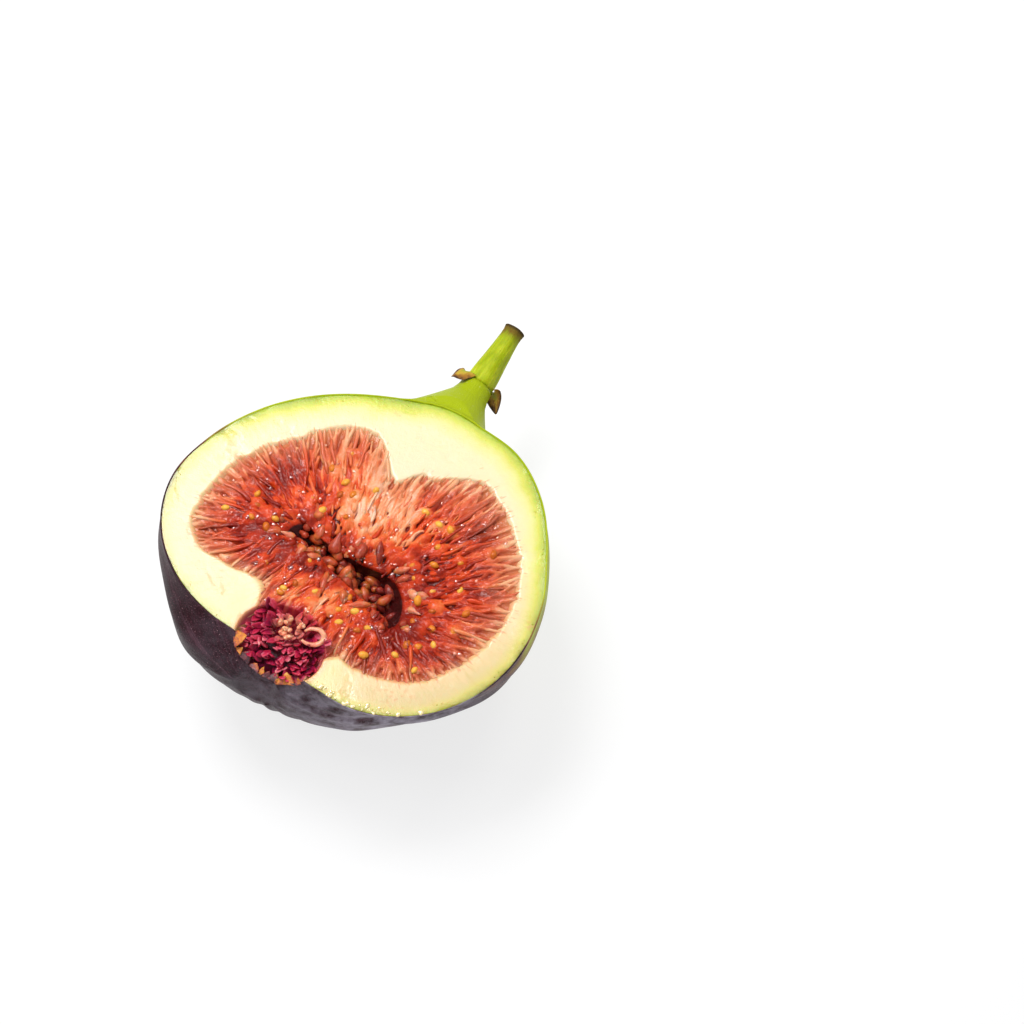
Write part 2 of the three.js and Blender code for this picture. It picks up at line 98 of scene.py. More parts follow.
# %% Outlines of the fruit
CUT_EDGE = [
    (0, 28.7), (20, 29.5), (35, 29.6), (48, 28.5), (60, 28.1), (72, 27.0), (85, 26.5), (100, 26.7),
    (120, 27.7), (140, 29.0), (155, 29.9), (170, 29.0), (185, 26.6), (205, 22.8), (220, 20.5),
    (237, 20.4), (254, 21.3), (270, 23.9), (285, 26.0), (305, 28.1), (325, 29.1), (345, 29.0),
]
GIRTH_EDGE = [
    (0, 29.1), (20, 29.9), (35, 30.1), (48, 29.6), (60, 29.2), (85, 27.4), (100, 26.9), (120, 27.8),
    (140, 29.3), (155, 30.2), (170, 29.5), (185, 28.1), (205, 27.4), (220, 25.6), (237, 23.7),
    (254, 23.0), (270, 23.3), (285, 23.4), (305, 25.5), (325, 28.4), (345, 28.9),
]
PULP_EDGE = [
    (0, 24.5), (15, 23.7), (30, 23.1), (38, 20.6), (46, 17.6), (54, 16.4), (61, 13.7), (68, 14.2),
    (74, 17.4), (81, 20.0), (95, 21.0), (115, 20.9), (133, 22.5), (150, 23.7), (165, 24.3),
    (177, 22.6), (184, 18.9), (192, 15.4), (200, 13.9), (208, 15.3), (216, 17.4), (234, 18.2),
    (251, 17.8), (262, 16.1), (271, 17.6), (281, 19.5), (292, 21.4), (310, 23.2), (326, 24.0),
    (342, 24.9), (352, 24.8),
]
HOLLOW_RIM = [
    (5, 7.0, -4.6), (25, 5.4, -2.9), (45, 3.0, -1.7), (61, 0.9, -0.7), (80, -2.0, 1.2), (95, -4.0, 2.4),
    (110, -5.6, 3.8), (130, -7.6, 5.6), (150, -9.6, 5.3), (170, -10.2, 4.0), (190, -7.8, 2.1),
    (210, -4.8, -0.3), (228, -2.1, -3.2), (245, 0.4, -5.6), (262, 2.8, -7.9), (280, 4.7, -10.8),
    (300, 6.2, -11.4), (320, 7.4, -10.0), (340, 7.8, -7.4),
]
HOLLOW_MIDDLE = np.array([-0.6, -1.9])


def around(knots):
    """A smooth closed curve through (degrees, values...), for arrays of degrees."""
    table = np.array(knots, float)
    turns = np.concatenate([table[-2:, 0] - 360, table[:, 0], table[:3, 0] + 360])
    values = np.concatenate([table[-2:, 1:], table[:, 1:], table[:3, 1:]])

    def curve(degrees):
        d = np.mod(degrees, 360.0)
        i = np.searchsorted(turns, d, side="right") - 1
        a, b, c, e = i - 1, i, i + 1, i + 2
        span = (turns[c] - turns[b])[..., None]
        t = (d - turns[b])[..., None] / span
        start = span * (values[c] - values[a]) / (turns[c] - turns[a])[..., None]
        end = span * (values[e] - values[b]) / (turns[e] - turns[b])[..., None]
        p, q = values[b], values[c]
        out = p + t * (start + t * (3 * (q - p) - 2 * start - end + t * (2 * (p - q) + start + end)))
        return out[..., 0] if out.shape[-1] == 1 else out

    return curve


cut_edge, girth_edge = around(CUT_EDGE), around(GIRTH_EDGE)
pulp_edge, hollow_rim = around(PULP_EDGE), around(HOLLOW_RIM)
cut_radii = cut_edge(np.arange(360.0))
print("cut edge from", round(cut_radii.min(), 1), "to", round(cut_radii.max(), 1))

# %% [markdown]
# ## Soft random heights
# Grown surfaces are never even. This gives a smooth random height at any place, the same on every run, so a
# mesh can be nudged by it before any material is made.


# %% Soft random heights
def corner(ix, iy, seed):
    mixed = np.sin(ix * 127.1 + iy * 311.7 + seed * 74.7) * 43758.5453
    return mixed - np.floor(mixed)


def wander(x, y, seed=0):
    """A smooth random height from -1 to 1, with bumps one unit wide."""
    x, y = np.broadcast_arrays(np.asarray(x, float), np.asarray(y, float))
    ix, iy = np.floor(x), np.floor(y)
    fx, fy = x - ix, y - iy
    ux, uy = fx * fx * (3 - 2 * fx), fy * fy * (3 - 2 * fy)
    low = corner(ix, iy, seed) * (1 - ux) + corner(ix + 1, iy, seed) * ux
    high = corner(ix, iy + 1, seed) * (1 - ux) + corner(ix + 1, iy + 1, seed) * ux
    return 2 * (low * (1 - uy) + high * uy) - 1


def ease(t, low=0.0, high=1.0):
    t = np.clip((t - low) / (high - low), 0, 1)
    return t * t * (3 - 2 * t)


print("a few heights:", np.round(wander(np.arange(4) * 0.7, 0.3), 2))

# %% [markdown]
# ## The fruit as one rule
# Body and neck are one skin with no seam. The rule below says how far inside the skin a point is, and a
# soft blend joins the body's rule to the neck's. Any mesh of the skin then only has to look for the place
# where the rule gives nought. The same rule serves the flesh and the eye's dish.

# %% The fruit as one rule
DEPTH = 29.5
GIRTH_DEPTH = 6.5
MEAN_RADIUS = 27.2
ROUNDING = 0.8
BLEND = 1.6
REST_HEIGHT = 28.7
RIB_COUNT = 22
RIB_HEIGHT = 0.3
NECK_END = np.array([18.4, 31.2, -6.0])
NECK_UNDER_CUT = 0.9
NECK_ALONG = [-15.0, -12.5, -10.0, -7.8, -6.0, -4.2, -2.7, -1.3, 0.0]
NECK_RADIUS = [8.5, 8.4, 7.8, 6.5, 5.25, 4.05, 3.1, 2.65, 2.55]
EYE_MIDDLE = 17.4
EYE_HALF = (5.7, 6.9, 3.6)
EYE_MEAN = 6.2
FLOOR_NORMAL = UP @ TILT


def body_radius(degrees, depth):
    cut, girth = cut_edge(degrees), girth_edge(degrees)
    upper = cut + (girth - cut) * np.sin(np.pi / 2 * np.clip(depth / GIRTH_DEPTH, -0.3, 1))
    fall = np.clip((depth - GIRTH_DEPTH) / (DEPTH - GIRTH_DEPTH), 0, 1)
    level = np.arcsin(fall) / (np.pi / 2)
    mean = girth + (MEAN_RADIUS - girth) * ROUNDING * ease(level)
    return np.where(depth < GIRTH_DEPTH, upper, mean * np.sqrt(1 - fall**2))


def rib_height(p):
    turn = np.arctan2(p @ SIDE, -p[..., 2] - 3)
    along = p @ AXIS / 30
    uneven = 0.6 + 0.4 * np.sin(5 * turn + 1.3)
    wave = np.cos(RIB_COUNT * turn + 1.6 * np.sin(3 * turn)) + 0.35 * wander(turn * 17, along * 3, 5)
    return RIB_HEIGHT * uneven * np.clip(1 - along**2, 0, 1) * wave


def inside_fruit(p):
    """Roughly how far a point is inside the skin, in millimetres, and below nought outside it."""
    degrees = np.degrees(np.arctan2(p[..., 1], p[..., 0]))
    body = body_radius(degrees, -p[..., 2]) - np.hypot(p[..., 0], p[..., 1]) + rib_height(p)
    from_end = p - NECK_END
    along = from_end @ AXIS
    aside = np.linalg.norm(from_end - along[..., None] * AXIS, axis=-1)
    neck = np.interp(along, NECK_ALONG, NECK_RADIUS) - aside
    neck = np.minimum(neck, np.minimum(-along, along - NECK_ALONG[0]))
    neck = np.minimum(neck, -NECK_UNDER_CUT - p[..., 2])
    share = np.clip(0.5 + 0.5 * (body - neck) / BLEND, 0, 1)
    joined = neck + (body - neck) * share + BLEND * share * (1 - share)
    floor = p @ FLOOR_NORMAL + REST_HEIGHT
    return np.minimum(joined, floor)


def dish_height(x, y):
    """The face's height: nought, or lower in the eye's dish."""
    along = (x * EYE_AXIS[0] + y * EYE_AXIS[1] - EYE_MIDDLE) / EYE_HALF[0]
    across = (x * EYE_ACROSS[0] + y * EYE_ACROSS[1]) / EYE_HALF[1]
    return -EYE_HALF[2] * np.sqrt(np.clip(1 - along**2 - across**2, 0, 1))


def in_dish(p):
    """A point's place along and across the eye's dish, as shares of its half sizes."""
    return (p @ EYE_AXIS - EYE_MIDDLE) / EYE_HALF[0], p @ EYE_ACROSS / EYE_HALF[1]


def dish_distance(p):
    """About how far a point of the face is outside the eye's dish, in millimetres."""
    return (np.hypot(*in_dish(p)) - 1) * EYE_MEAN


def reach(origin, directions, far=60.0):
    """Where each ray from the origin leaves the fruit."""
    near, away = np.zeros(directions.shape[:-1]), np.full(directions.shape[:-1], far)
    for _ in range(34):
        middle = (near + away) / 2
        inside = inside_fruit(origin + directions * middle[..., None]) > 0
        near, away = np.where(inside, middle, near), np.where(inside, away, middle)
    return origin + directions * near[..., None]


print("skin under the middle of the cut:", np.round(reach(np.zeros(3), -UP[None]), 2))

# %% [markdown]
# ## Meshes from grids
# Most pieces are grids of points: rows that follow one another, each with the same number of points. One
# helper turns rows into a mesh in the model's frame, closes it where asked, and stores numbers on its points
# that the finishes read later, such as how far a point is from the skin.


# %% Meshes from grids
def grid_faces(rows, columns, wrap=False, start=0):
    r, c = np.meshgrid(np.arange(rows - 1), np.arange(columns if wrap else columns - 1), indexing="ij")
    after = (c + 1) % columns
    here, beyond = r * columns, (r + 1) * columns
    quads = np.stack([here + c, here + after, beyond + after, beyond + c], -1)
    return (quads.reshape(-1, 4) + start).tolist()


def closed_faces(rows, columns):
    """Faces of a tube of rows, with a fan at each end to the two points that follow the rows."""
    faces = grid_faces(rows, columns, wrap=True)
    start, last = rows * columns, (rows - 1) * columns
    for k in range(columns):
        after = (k + 1) % columns
        faces += [[start, k, after], [start + 1, last + after, last + k]]
    return faces


def store(mesh, numbers):
    """Keeps a number, whole or not, or a triple on every point, for a finish or a tree to read."""
    for key, values in numbers.items():
        if values.ndim == 2:
            kind, slot, exact = "FLOAT_VECTOR", "vector", np.float32
        else:
            kind, exact = ("INT", np.int32) if values.dtype.kind == "i" else ("FLOAT", np.float32)
            slot = "value"
        mesh.attributes.new(key, kind, "POINT").data.foreach_set(slot, values.astype(exact).ravel())


def make_piece(name, points, faces, numbers=None):
    mesh = bpy.data.meshes.new(name)
    mesh.from_pydata(to_model(points).tolist(), [], faces)
    store(mesh, numbers or {})
    mesh.update()
    mesh.polygons.foreach_set("use_smooth", [True] * len(mesh.polygons))
    piece = bpy.data.objects.new(name, mesh)
    scene.collection.objects.link(piece)
    return piece


def weld(piece, distance_mm=0.001):
    """Joins points that lie on one another and turns every face outwards."""
    work = bmesh.new()
    work.from_mesh(piece.data)
    bmesh.ops.remove_doubles(work, verts=work.verts, dist=distance_mm / 1000)
    bmesh.ops.recalc_face_normals(work, faces=work.faces)
    work.to_mesh(piece.data)
    work.free()
    return piece


def report(piece):
    triangles = sum(len(p.vertices) - 2 for p in piece.data.polygons)
    print(f"{piece.name}: {len(piece.data.vertices)} points, {triangles} triangles")


print("a tube of 3 rows of 6 points has", len(closed_faces(3, 6)), "faces")

# %% [markdown]
# ## Shader sums in plain Python
# A finish is a sum of noises, distances and colours. As nodes such a sum is long, so one small class wraps a
# node's output and lets Python's signs make the maths nodes: `wet * 2 + 1` builds two of them. Everything
# else goes through one call, which takes the node's kind, its settings and what is fed to it.


# %% A node's output that Python can reckon with
class Value:
    """One output in a node tree, which Python's own signs combine into new ones."""

    def __init__(self, tree, socket):
        self.tree, self.socket = tree, socket

    def sum(self, operation, a, b):
        return node(self.tree, "ShaderNodeMath", {"operation": operation}, {0: a, 1: b})

    def __add__(self, other):
        return self.sum("ADD", self, other)

    def __sub__(self, other):
        return self.sum("SUBTRACT", self, other)

    def __rsub__(self, other):
        return self.sum("SUBTRACT", other, self)

    def __mul__(self, other):
        return self.sum("MULTIPLY", self, other)

    def __truediv__(self, other):
        return self.sum("DIVIDE", self, other)

    def rise(self, low, high):
        """Nought below low, one above high, and an eased slope between; low above high turns it round."""
        ends = {"Value": self, "From Min": low, "From Max": high}
        return node(self.tree, "ShaderNodeMapRange", {"interpolation_type": "SMOOTHSTEP"}, ends)

    __radd__, __rmul__ = __add__, __mul__


def node(tree, kind, settings, fed, output=0):
    """Makes a node: its settings first, then what is fed to its inputs, by name or number."""
    made = tree.nodes.new(kind)
    for key, setting in settings.items():
        setattr(made, key, setting)
    for key, value in fed.items():
        if isinstance(value, Value):
            tree.links.new(value.socket, made.inputs[key])
        else:
            made.inputs[key].default_value = value
    return Value(tree, made.outputs[output])


def tone(code):
    """A colour from its six web digits, as the linear numbers that a node takes."""
    parts = [int(code[i : i + 2], 16) / 255 for i in (0, 2, 4)]
    return (*[p / 12.92 if p < 0.04045 else ((p + 0.055) / 1.055) ** 2.4 for p in parts], 1.0)


def socket_name(key):
    return key.replace("_", " ").title().replace("Ior", "IOR")


# %% A finish and its usual nodes
class Finish:
    """A material with one glossy, translucent surface, and the nodes that most finishes need."""

    def __init__(self, name, **constants):
        self.material = bpy.data.materials.new(name)
        self.material.use_nodes = True
        self.tree = self.material.node_tree
        self.surface = self.tree.nodes["Principled BSDF"]
        for key, value in constants.items():
            self.surface.inputs[socket_name(key)].default_value = value

    def node(self, kind, settings=None, fed=None, output=0):
        return node(self.tree, kind, settings or {}, fed or {}, output)

    def stored(self, name, output="Fac"):
        """A number or, with the output Vector, a triple kept on the mesh's points."""
        return self.node("ShaderNodeAttribute", {"attribute_name": name}, output=output)

    def place(self):
        """Where on the piece this is, in millimetres."""
        metres = self.node("ShaderNodeTexCoord", output="Object")
        return self.stretch(metres, (1000, 1000, 1000))

    def stretch(self, vector, by):
        return self.node("ShaderNodeVectorMath", {"operation": "MULTIPLY"}, {0: vector, 1: by})

    def noise(self, where, scale, detail=2.0, rough=0.5):
        fed = {"Vector": where, "Scale": scale, "Detail": detail, "Roughness": rough}
        return self.node("ShaderNodeTexNoise", {}, fed)

    def cells(self, where, scale):
        """How far it is to the nearest of many strewn points, such as pores."""
        return self.node("ShaderNodeTexVoronoi", {}, {"Vector": where, "Scale": scale}, "Distance")

    def mix(self, under, over, share):
        """One colour over another by the given share; a fixed colour is given as web digits."""
        under, over = (tone(c) if isinstance(c, str) else c for c in (under, over))
        return self.node("ShaderNodeMix", {"data_type": "RGBA"}, {0: share, 6: under, 7: over}, output=2)

    def ramp(self, share, stops):
        """Colours along a scale from nought to one, as pairs of place and web digits."""
        made = self.node("ShaderNodeValToRGB", {}, {0: share})
        bar = made.socket.node.color_ramp
        while len(bar.elements) < len(stops):
            bar.elements.new(0.5)
        for element, (at, code) in zip(bar.elements, stops):
            element.position, element.color = at, tone(code)
        return made

    def bump(self, height, depth_mm):
        """Relief that is only shaded: the height runs from nought to one over the given depth."""
        return self.node("ShaderNodeBump", {}, {"Height": height, "Distance": depth_mm / 1000})

    def feed(self, **fed):
        for key, value in fed.items():
            self.tree.links.new(value.socket, self.surface.inputs[socket_name(key)])
        print(f"{self.material.name}: {len(self.tree.nodes)} nodes")
        return self.material


print("aubergine as linear numbers:", [round(x, 3) for x in tone("371d27")])

# %% [markdown]
# ## Skin
# The skin is thin, dark and lightly ribbed, and turns green towards the neck. Its mesh is made of rings round
# the fruit's own axis, from the stem's end to the eye's: they crowd together at the neck, where the form is
# tight, and open out over the body. Each ring stops where the knife or the eye's dish cuts it, so the edge is
# clean, and a small lip turns in over the flesh.

# %% Rings of the skin
RINGS = 260
SIDE_POINTS = 130
SKIN_ORIGIN = NECK_END - 34 * AXIS
LIP = [(0.08, 0.01), (0.2, -0.01), (0.3, -0.2), (0.4, -1.0)]
# Middle and reach of the bloom's soft spot, which is partly real wax and partly painted reflection of grazing
# light.
BLOOM_AND_SHEEN_MIDDLE = (6, -26, -11)
BLOOM_AND_SHEEN_REACH = 17


def skin_point(from_axis, turn):
    sideways = np.cos(turn)[..., None] * -UP + np.sin(turn)[..., None] * SIDE
    rays = np.cos(from_axis)[..., None] * AXIS + np.sin(from_axis)[..., None] * sideways
    return reach(SKIN_ORIGIN, rays)


def knife_margin(p):
    """Above nought where the skin is still there: under the cut and outside the eye's dish."""
    along, across = in_dish(p)
    dish = np.sqrt(along**2 + across**2 + (p[..., 2] / EYE_HALF[2]) ** 2) - 1
    return np.minimum(-p[..., 2], 4 * dish)


def last_turn(from_axis, side):
    """How far round each ring goes before the knife stops it."""
    turns = np.linspace(0, np.pi, 240)
    margin = knife_margin(skin_point(from_axis[:, None] + 0 * turns, side * turns + 0 * from_axis[:, None]))
    gone = margin < 0
    first = np.where(gone.any(1), gone.argmax(1), len(turns))
    out = np.full(len(from_axis), np.pi)
    for i, k in enumerate(first):
        if 0 < k < len(turns):
            a, b = margin[i, k - 1], margin[i, k]
            out[i] = turns[k - 1] + (turns[k] - turns[k - 1]) * a / (a - b)
    return out


from_axis = np.pi * np.linspace(0, 1, RINGS + 1)[1:-1] ** 1.5
spread = np.linspace(-1, 1, 2 * SIDE_POINTS + 1)
ends = {side: last_turn(from_axis, side) for side in (-1, 1)}
ring_turns = np.where(spread[None] < 0, ends[-1][:, None], ends[1][:, None]) * spread[None]
skin_rings = skin_point(np.broadcast_to(from_axis[:, None], ring_turns.shape), ring_turns)
cut_open = np.flatnonzero((ends[1] < np.pi - 1e-6) & (ends[-1] < np.pi - 1e-6))
print("rings that the knife opened:", cut_open[0], "to", cut_open[-1], "of", len(from_axis))
skin_rings, ring_turns = skin_rings[:cut_open[-1] + 1], ring_turns[:cut_open[-1] + 1]

# %% [markdown]
# The grid of rings becomes a mesh. A fan closes the neck's end, and one flat face closes the last ring,
# deep in the eye's dish. The lip adds four short rows along each side of the cut. The points keep how far
# along the fruit they are and which way round, because streaks and colours follow those two, and where the
# lip folds in.


# %% Skin mesh
def lip_rows(edge):
    """The skin's edge rolled inwards over the flesh."""
    inward = -edge * [1, 1, 0] / np.linalg.norm(edge[:, :2], axis=1)[:, None]
    rows = []
    for step, rise in LIP:
        p = edge + inward * step
        p[:, 2] = np.minimum(edge[:, 2], dish_height(p[:, 0], p[:, 1])) + rise
        rows.append(p)
    return rows


def build_skin():
    rings, columns = skin_rings.shape[:2]
    points = [skin_rings.reshape(-1, 3), skin_point(np.zeros(1), np.zeros(1))]
    around_axis = [ring_turns.ravel(), np.zeros(1)]
    folds = [np.zeros(rings * columns + 1)]
    faces = grid_faces(rings, columns)
    pole = rings * columns
    faces += [[pole, k + 1, k] for k in range(columns - 1)]
    start, count = pole + 1, len(cut_open)
    first, last = cut_open[[0, -1]] * columns
    faces.append([first - columns, first, first + columns - 1])
    faces.append([last + k for k in range(columns)])
    lips = []
    for column, flip in ((0, False), (columns - 1, True)):
        edge = skin_rings[cut_open, column]
        rows = lip_rows(edge)
        points += rows
        folds += [np.clip((edge[:, 2] - row[:, 2] - 0.1) / 0.3, 0, 1) for row in rows]
        around_axis += [ring_turns[cut_open, column]] * len(rows)
        index = [cut_open * columns + column, *(start + np.arange(count * len(rows)).reshape(-1, count))]
        for a, b in zip(index, index[1:]):
            quads = np.stack([a[:-1], a[1:], b[1:], b[:-1]], 1)
            faces += (quads if flip else quads[:, ::-1]).tolist()
        lips.append(index)
        start += count * len(rows)
    for k in range(len(LIP)):
        for at in (0, -1):
            faces.append([lips[0][k][at], lips[1][k][at], lips[1][k + 1][at], lips[0][k + 1][at]])
    p, turn = np.concatenate(points), np.concatenate(around_axis)
    along = p @ AXIS
    # The bloom's soft spot lies low on the eye's side. There it is partly real wax and partly painted
    # reflection.
    bloom_and_sheen = np.exp(-(np.linalg.norm(p - BLOOM_AND_SHEEN_MIDDLE, axis=1) / BLOOM_AND_SHEEN_REACH) ** 2)
    fold = np.concatenate(folds)
    numbers = {"along": along, "course": polar(turn, 9, along / 6), "bloom_and_sheen": bloom_and_sheen, "fold": fold}
    return make_piece("fig_skin", p, faces, numbers)


skin = weld(build_skin())
report(skin)

# %% [markdown]
# The skin's colour is a scale from green at the neck, over olive and brown, to aubergine at the eye. Noise
# that is stretched along the fruit breaks the scale into streaks that follow the ribs, and the crests of
# some streaks are lightened as a painted highlight. Over it go pale pores, a fine grain, a few short
# cracks, and the bloom: a thin grey wax that makes the dark skin look blue and dull. The bloom is strongest
# in a soft spot low on the eye's side, and there it is partly painted reflection of grazing light.

# %% Skin finish
peel = Finish("fig skin", specular_ior_level=0.08)
where = peel.place()
course = peel.stored("course", "Vector")
streaks = peel.noise(course, 1.6, detail=4, rough=0.6)
long_streaks = peel.noise(peel.stretch(course, (1, 1, 0.22)), 1.5, detail=3, rough=0.55)
blotches = peel.noise(where, 0.11, detail=3)
grain = peel.noise(where, 5.5, detail=3, rough=0.75)
ripe = peel.stored("along") * 0.022 + 0.535 + (long_streaks - 0.5) * 0.8
ripe = ripe + (streaks - 0.5) * 0.3 + (blotches - 0.5) * 0.5
dark = peel.ramp(
    streaks * 0.45 + blotches * 0.3 + long_streaks * 0.25,
    [(0.30, "120408"), (0.46, "220a10"), (0.56, "300d18"), (0.66, "461826"), (0.78, "64303f")],
)
pale = peel.ramp(
    ripe,
    [(0.46, "4e2230"), (0.58, "7c4c36"), (0.7, "978a2c"), (0.82, "adb828"), (1.0, "9cab12")],
)
colour = peel.mix(dark, pale, ripe.rise(0.40, 0.66))
colour = peel.mix(colour, "85505f", grain.rise(0.54, 0.68) * 0.45 * ripe.rise(0.66, 0.45))
# Painted highlight: the crests of the long streaks are lightened, as light catching the ribs would make them.
painted_rib_highlights = long_streaks.rise(0.56, 0.7) * ripe.rise(0.66, 0.45)
colour = peel.mix(colour, "6c545f", painted_rib_highlights * 0.28)
# Wax bloom, partly real and partly painted reflection: the soft spot lightens the skin as grazing light
# would.
bloom_and_sheen = peel.stored("bloom_and_sheen")
wax_and_sheen = peel.noise(where, 0.26, detail=6, rough=0.7).rise(0.3, 0.7) * peel.stored("along").rise(4, -12)
wax_and_sheen = wax_and_sheen * (bloom_and_sheen * 0.9 + 0.03)
colour = peel.mix(colour, "bdb5c4", wax_and_sheen)
pores = peel.cells(where, 1.5).rise(0.15, 0.07) * peel.noise(where, 0.7).rise(0.42, 0.6)
fine_pores = peel.cells(where, 3.4).rise(0.2, 0.1) * peel.noise(where, 1.1).rise(0.46, 0.58)
pore_colour = peel.mix("b98a8f", "d3d894", ripe.rise(0.5, 0.7))
colour = peel.mix(colour, pore_colour, pores * 0.6 + fine_pores * 0.45)
cracks = peel.cells(peel.stretch(course, (1, 1, 0.5)), 1.5).rise(0.11, 0.05)
cracks = cracks * peel.noise(where, 0.3).rise(0.5, 0.62)
colour = peel.mix(colour, "1d0d0a", cracks * 0.75)
colour = peel.mix(colour, "5e1230", peel.stored("fold") * peel.stored("along").rise(-10, -14) * 0.85)
relief = streaks * 0.55 + grain * 0.3 - cracks * 0.6 + pores * 0.15
skin_finish = peel.feed(
    base_color=colour,
    roughness=0.3 + wax_and_sheen * 0.4 + grain * 0.14,
    normal=peel.bump(relief, 0.24),
)
skin.data.materials.append(skin_finish)

# %% [markdown]
# ## Flesh
# The flesh is the pale wall that the knife went through. Its face is a ring of points between the skin and
# the pulp. It sinks into the eye's dish and slopes down at its inner edge, where tongues of it reach in
# between the florets. A coarse bowl closes it underneath, out of sight, so that light can soak into a
# solid.

# %% Flesh mesh
FLESH_COLUMNS = 600
FLESH_ROWS = 56
UNDER_SKIN = 0.2
FLESH_OVERLAP = 1.6
UNDER_BOWL = [(0.25, -14), (0.6, -12), (0.92, -4.5)]
STAIN = (6.5, -22, 3.2)
WARM_SPOT = (-25.8, 2.5, 3.4)


def tongues(degrees):
    """How far the flesh reaches in between the florets, from -1 to 1, at each angle."""
    x, y, _ = heading(degrees).T
    return 0.6 * wander(x * 24, y * 24, 11) + 0.6 * wander(x * 9, y * 9, 12)


def face_edge(degrees):
    """The radius where the face, or the dish in it, meets the skin."""
    x, y, _ = heading(degrees).T
    r = cut_edge(degrees)
    for _ in range(14):
        r = (r + body_radius(degrees, -dish_height(r * x, r * y))) / 2
    return r


def soft_spot(p, x, y, reach_mm):
    """One at a place of the face, falling softly to nought round it."""
    return np.exp(-((p[:, 0] - x) ** 2 + (p[:, 1] - y) ** 2) / reach_mm**2)


def build_flesh():
    degrees = np.arange(FLESH_COLUMNS) * 360 / FLESH_COLUMNS
    outer, inner = face_edge(degrees) - UNDER_SKIN, pulp_edge(degrees) - FLESH_OVERLAP
    radius = inner + (outer - inner) * (1 - np.linspace(0, 1, FLESH_ROWS) ** 1.15)[:, None]
    turn = np.radians(degrees)
    x, y = radius * np.cos(turn), radius * np.sin(turn)
    past = radius - pulp_edge(degrees) - 0.45 * tongues(degrees)
    relief = 0.05 * wander(x * 0.5, y * 0.5, 3) + 0.018 * wander(x * 2.2, y * 2.2, 4)
    edge_fall = -0.06 * np.exp(-(outer - radius) / 0.25)
    slope = -1.3 * (1 - ease(past, -1.4, 0.4))
    z = np.minimum(relief + edge_fall, dish_height(x, y) - 0.02) + slope - 0.03
    bowl = [polar(turn, inner * share, height) for share, height in UNDER_BOWL]
    rows = [*bowl, *np.stack([x, y, z], -1)]
    for level in np.linspace(0.02, 0.985, 10):
        depth = DEPTH * math.sin(level * math.pi / 2)
        r = np.maximum(body_radius(degrees, depth) - 1.4, 0.6) * (1 if level > 0.05 else 0.999)
        ring = polar(turn, r, -depth)
        ring[:, 2] = np.minimum(ring[:, 2], dish_height(ring[:, 0], ring[:, 1]) - 0.6)
        ring[:, 2] -= np.minimum(ring @ FLOOR_NORMAL + REST_HEIGHT - 1, 0)
        rows.append(ring)
    points = np.concatenate(rows + [[[0, 0, UNDER_BOWL[0][1]], [0, 0, 2.0 - DEPTH]]])
    turn, r = np.arctan2(points[:, 1], points[:, 0]), np.hypot(points[:, 0], points[:, 1])
    degrees = np.degrees(turn)
    numbers = {
        "from_skin": cut_edge(degrees) - r,
        "from_pulp": r - pulp_edge(degrees),
        "course": polar(turn, 12, r / 9),
        "along": points @ AXIS,
        "eye": dish_distance(points),
        "stain": soft_spot(points, *STAIN),
        "warm": soft_spot(points, *WARM_SPOT),
    }
    return make_piece("fig_flesh", points, closed_faces(len(rows), FLESH_COLUMNS), numbers)


flesh = weld(build_flesh())
report(flesh)

# %% [markdown]
# The flesh is cream in the middle, and goes over yellow to lime within a few millimetres of the green skin,
# or over a dull yellow to olive under the dark skin. Near the pulp a blush of orange leaks out along the
# florets. It is translucent and wet: the skin's side glows, and the knife has left faint strokes and tiny
# drops of juice.

# %% Flesh finish
wall = Finish(
    "fig flesh", subsurface_weight=0.35, subsurface_scale=0.0016, coat_weight=0.3, coat_roughness=0.1,
)
where = wall.place()
course = wall.stored("course", "Vector")
from_skin, from_pulp = wall.stored("from_skin"), wall.stored("from_pulp")
mottle = wall.noise(where, 0.22, detail=3)
fine = wall.noise(where, 1.8, detail=3, rough=0.6)
fibres = wall.noise(course, 2.2, detail=3, rough=0.6)
green_side = (wall.stored("along") + (mottle - 0.5) * 14).rise(-3, 15)
depth_in = from_skin * (1.0 - green_side * 0.28) + (mottle - 0.5) * 1.6 + (fine - 0.5) * 0.35
dark_rim = wall.ramp(depth_in / 8, [
    (0.0, "6f6a0c"), (0.05, "a29a1c"), (0.15, "c8ba4c"), (0.34, "d2b87c"), (1, "d2b880"),
])
green_rim = wall.ramp(depth_in / 8, [
    (0.0, "8a9a02"), (0.06, "aab40c"), (0.13, "c6c638"), (0.23, "d6cf80"), (0.42, "dccfa2"), (1, "dacba4"),
])
colour = wall.mix(dark_rim, green_rim, green_side)
colour = wall.mix(colour, "c8b078", wall.stored("along").rise(5, -14) * depth_in.rise(0.3, 2.4) * 0.75)
colour = wall.mix(colour, "c0a04c", fibres.rise(0.52, 0.75) * wall.stored("along").rise(5, -10) * 0.35)
lip = wall.stored("eye").rise(6.5, 0.4) * 0.8
colour = wall.mix(colour, "d6b96c", lip * depth_in.rise(0.2, 1.4))
strokes = wall.noise(course, 5.5, detail=2).rise(0.5, 0.7)
blush = (from_pulp - strokes * 1.3 + (fine - 0.5) * 0.4).rise(0.35, -0.75)
colour = wall.mix(colour, "f7c69a", (from_pulp + (fibres - 0.5) * 5).rise(2.6, 0.0) * 0.35)
colour = wall.mix(colour, "dc8858", blush * 0.75)
colour = wall.mix(colour, "e2a070", wall.stored("eye").rise(1.1, 0.2) * 0.7)
colour = wall.mix(colour, "c0485a", wall.stored("eye").rise(0.25, -0.35))
colour = wall.mix(colour, "5c0c26", wall.stored("eye").rise(-0.5, -1.4))
stains = wall.cells(where, 0.16).rise(0.16, 0.05) * wall.noise(where, 0.9, detail=4).rise(0.5, 0.6)
stains = stains + wall.stored("stain") * wall.noise(where, 1.3, detail=3).rise(0.5, 0.66)
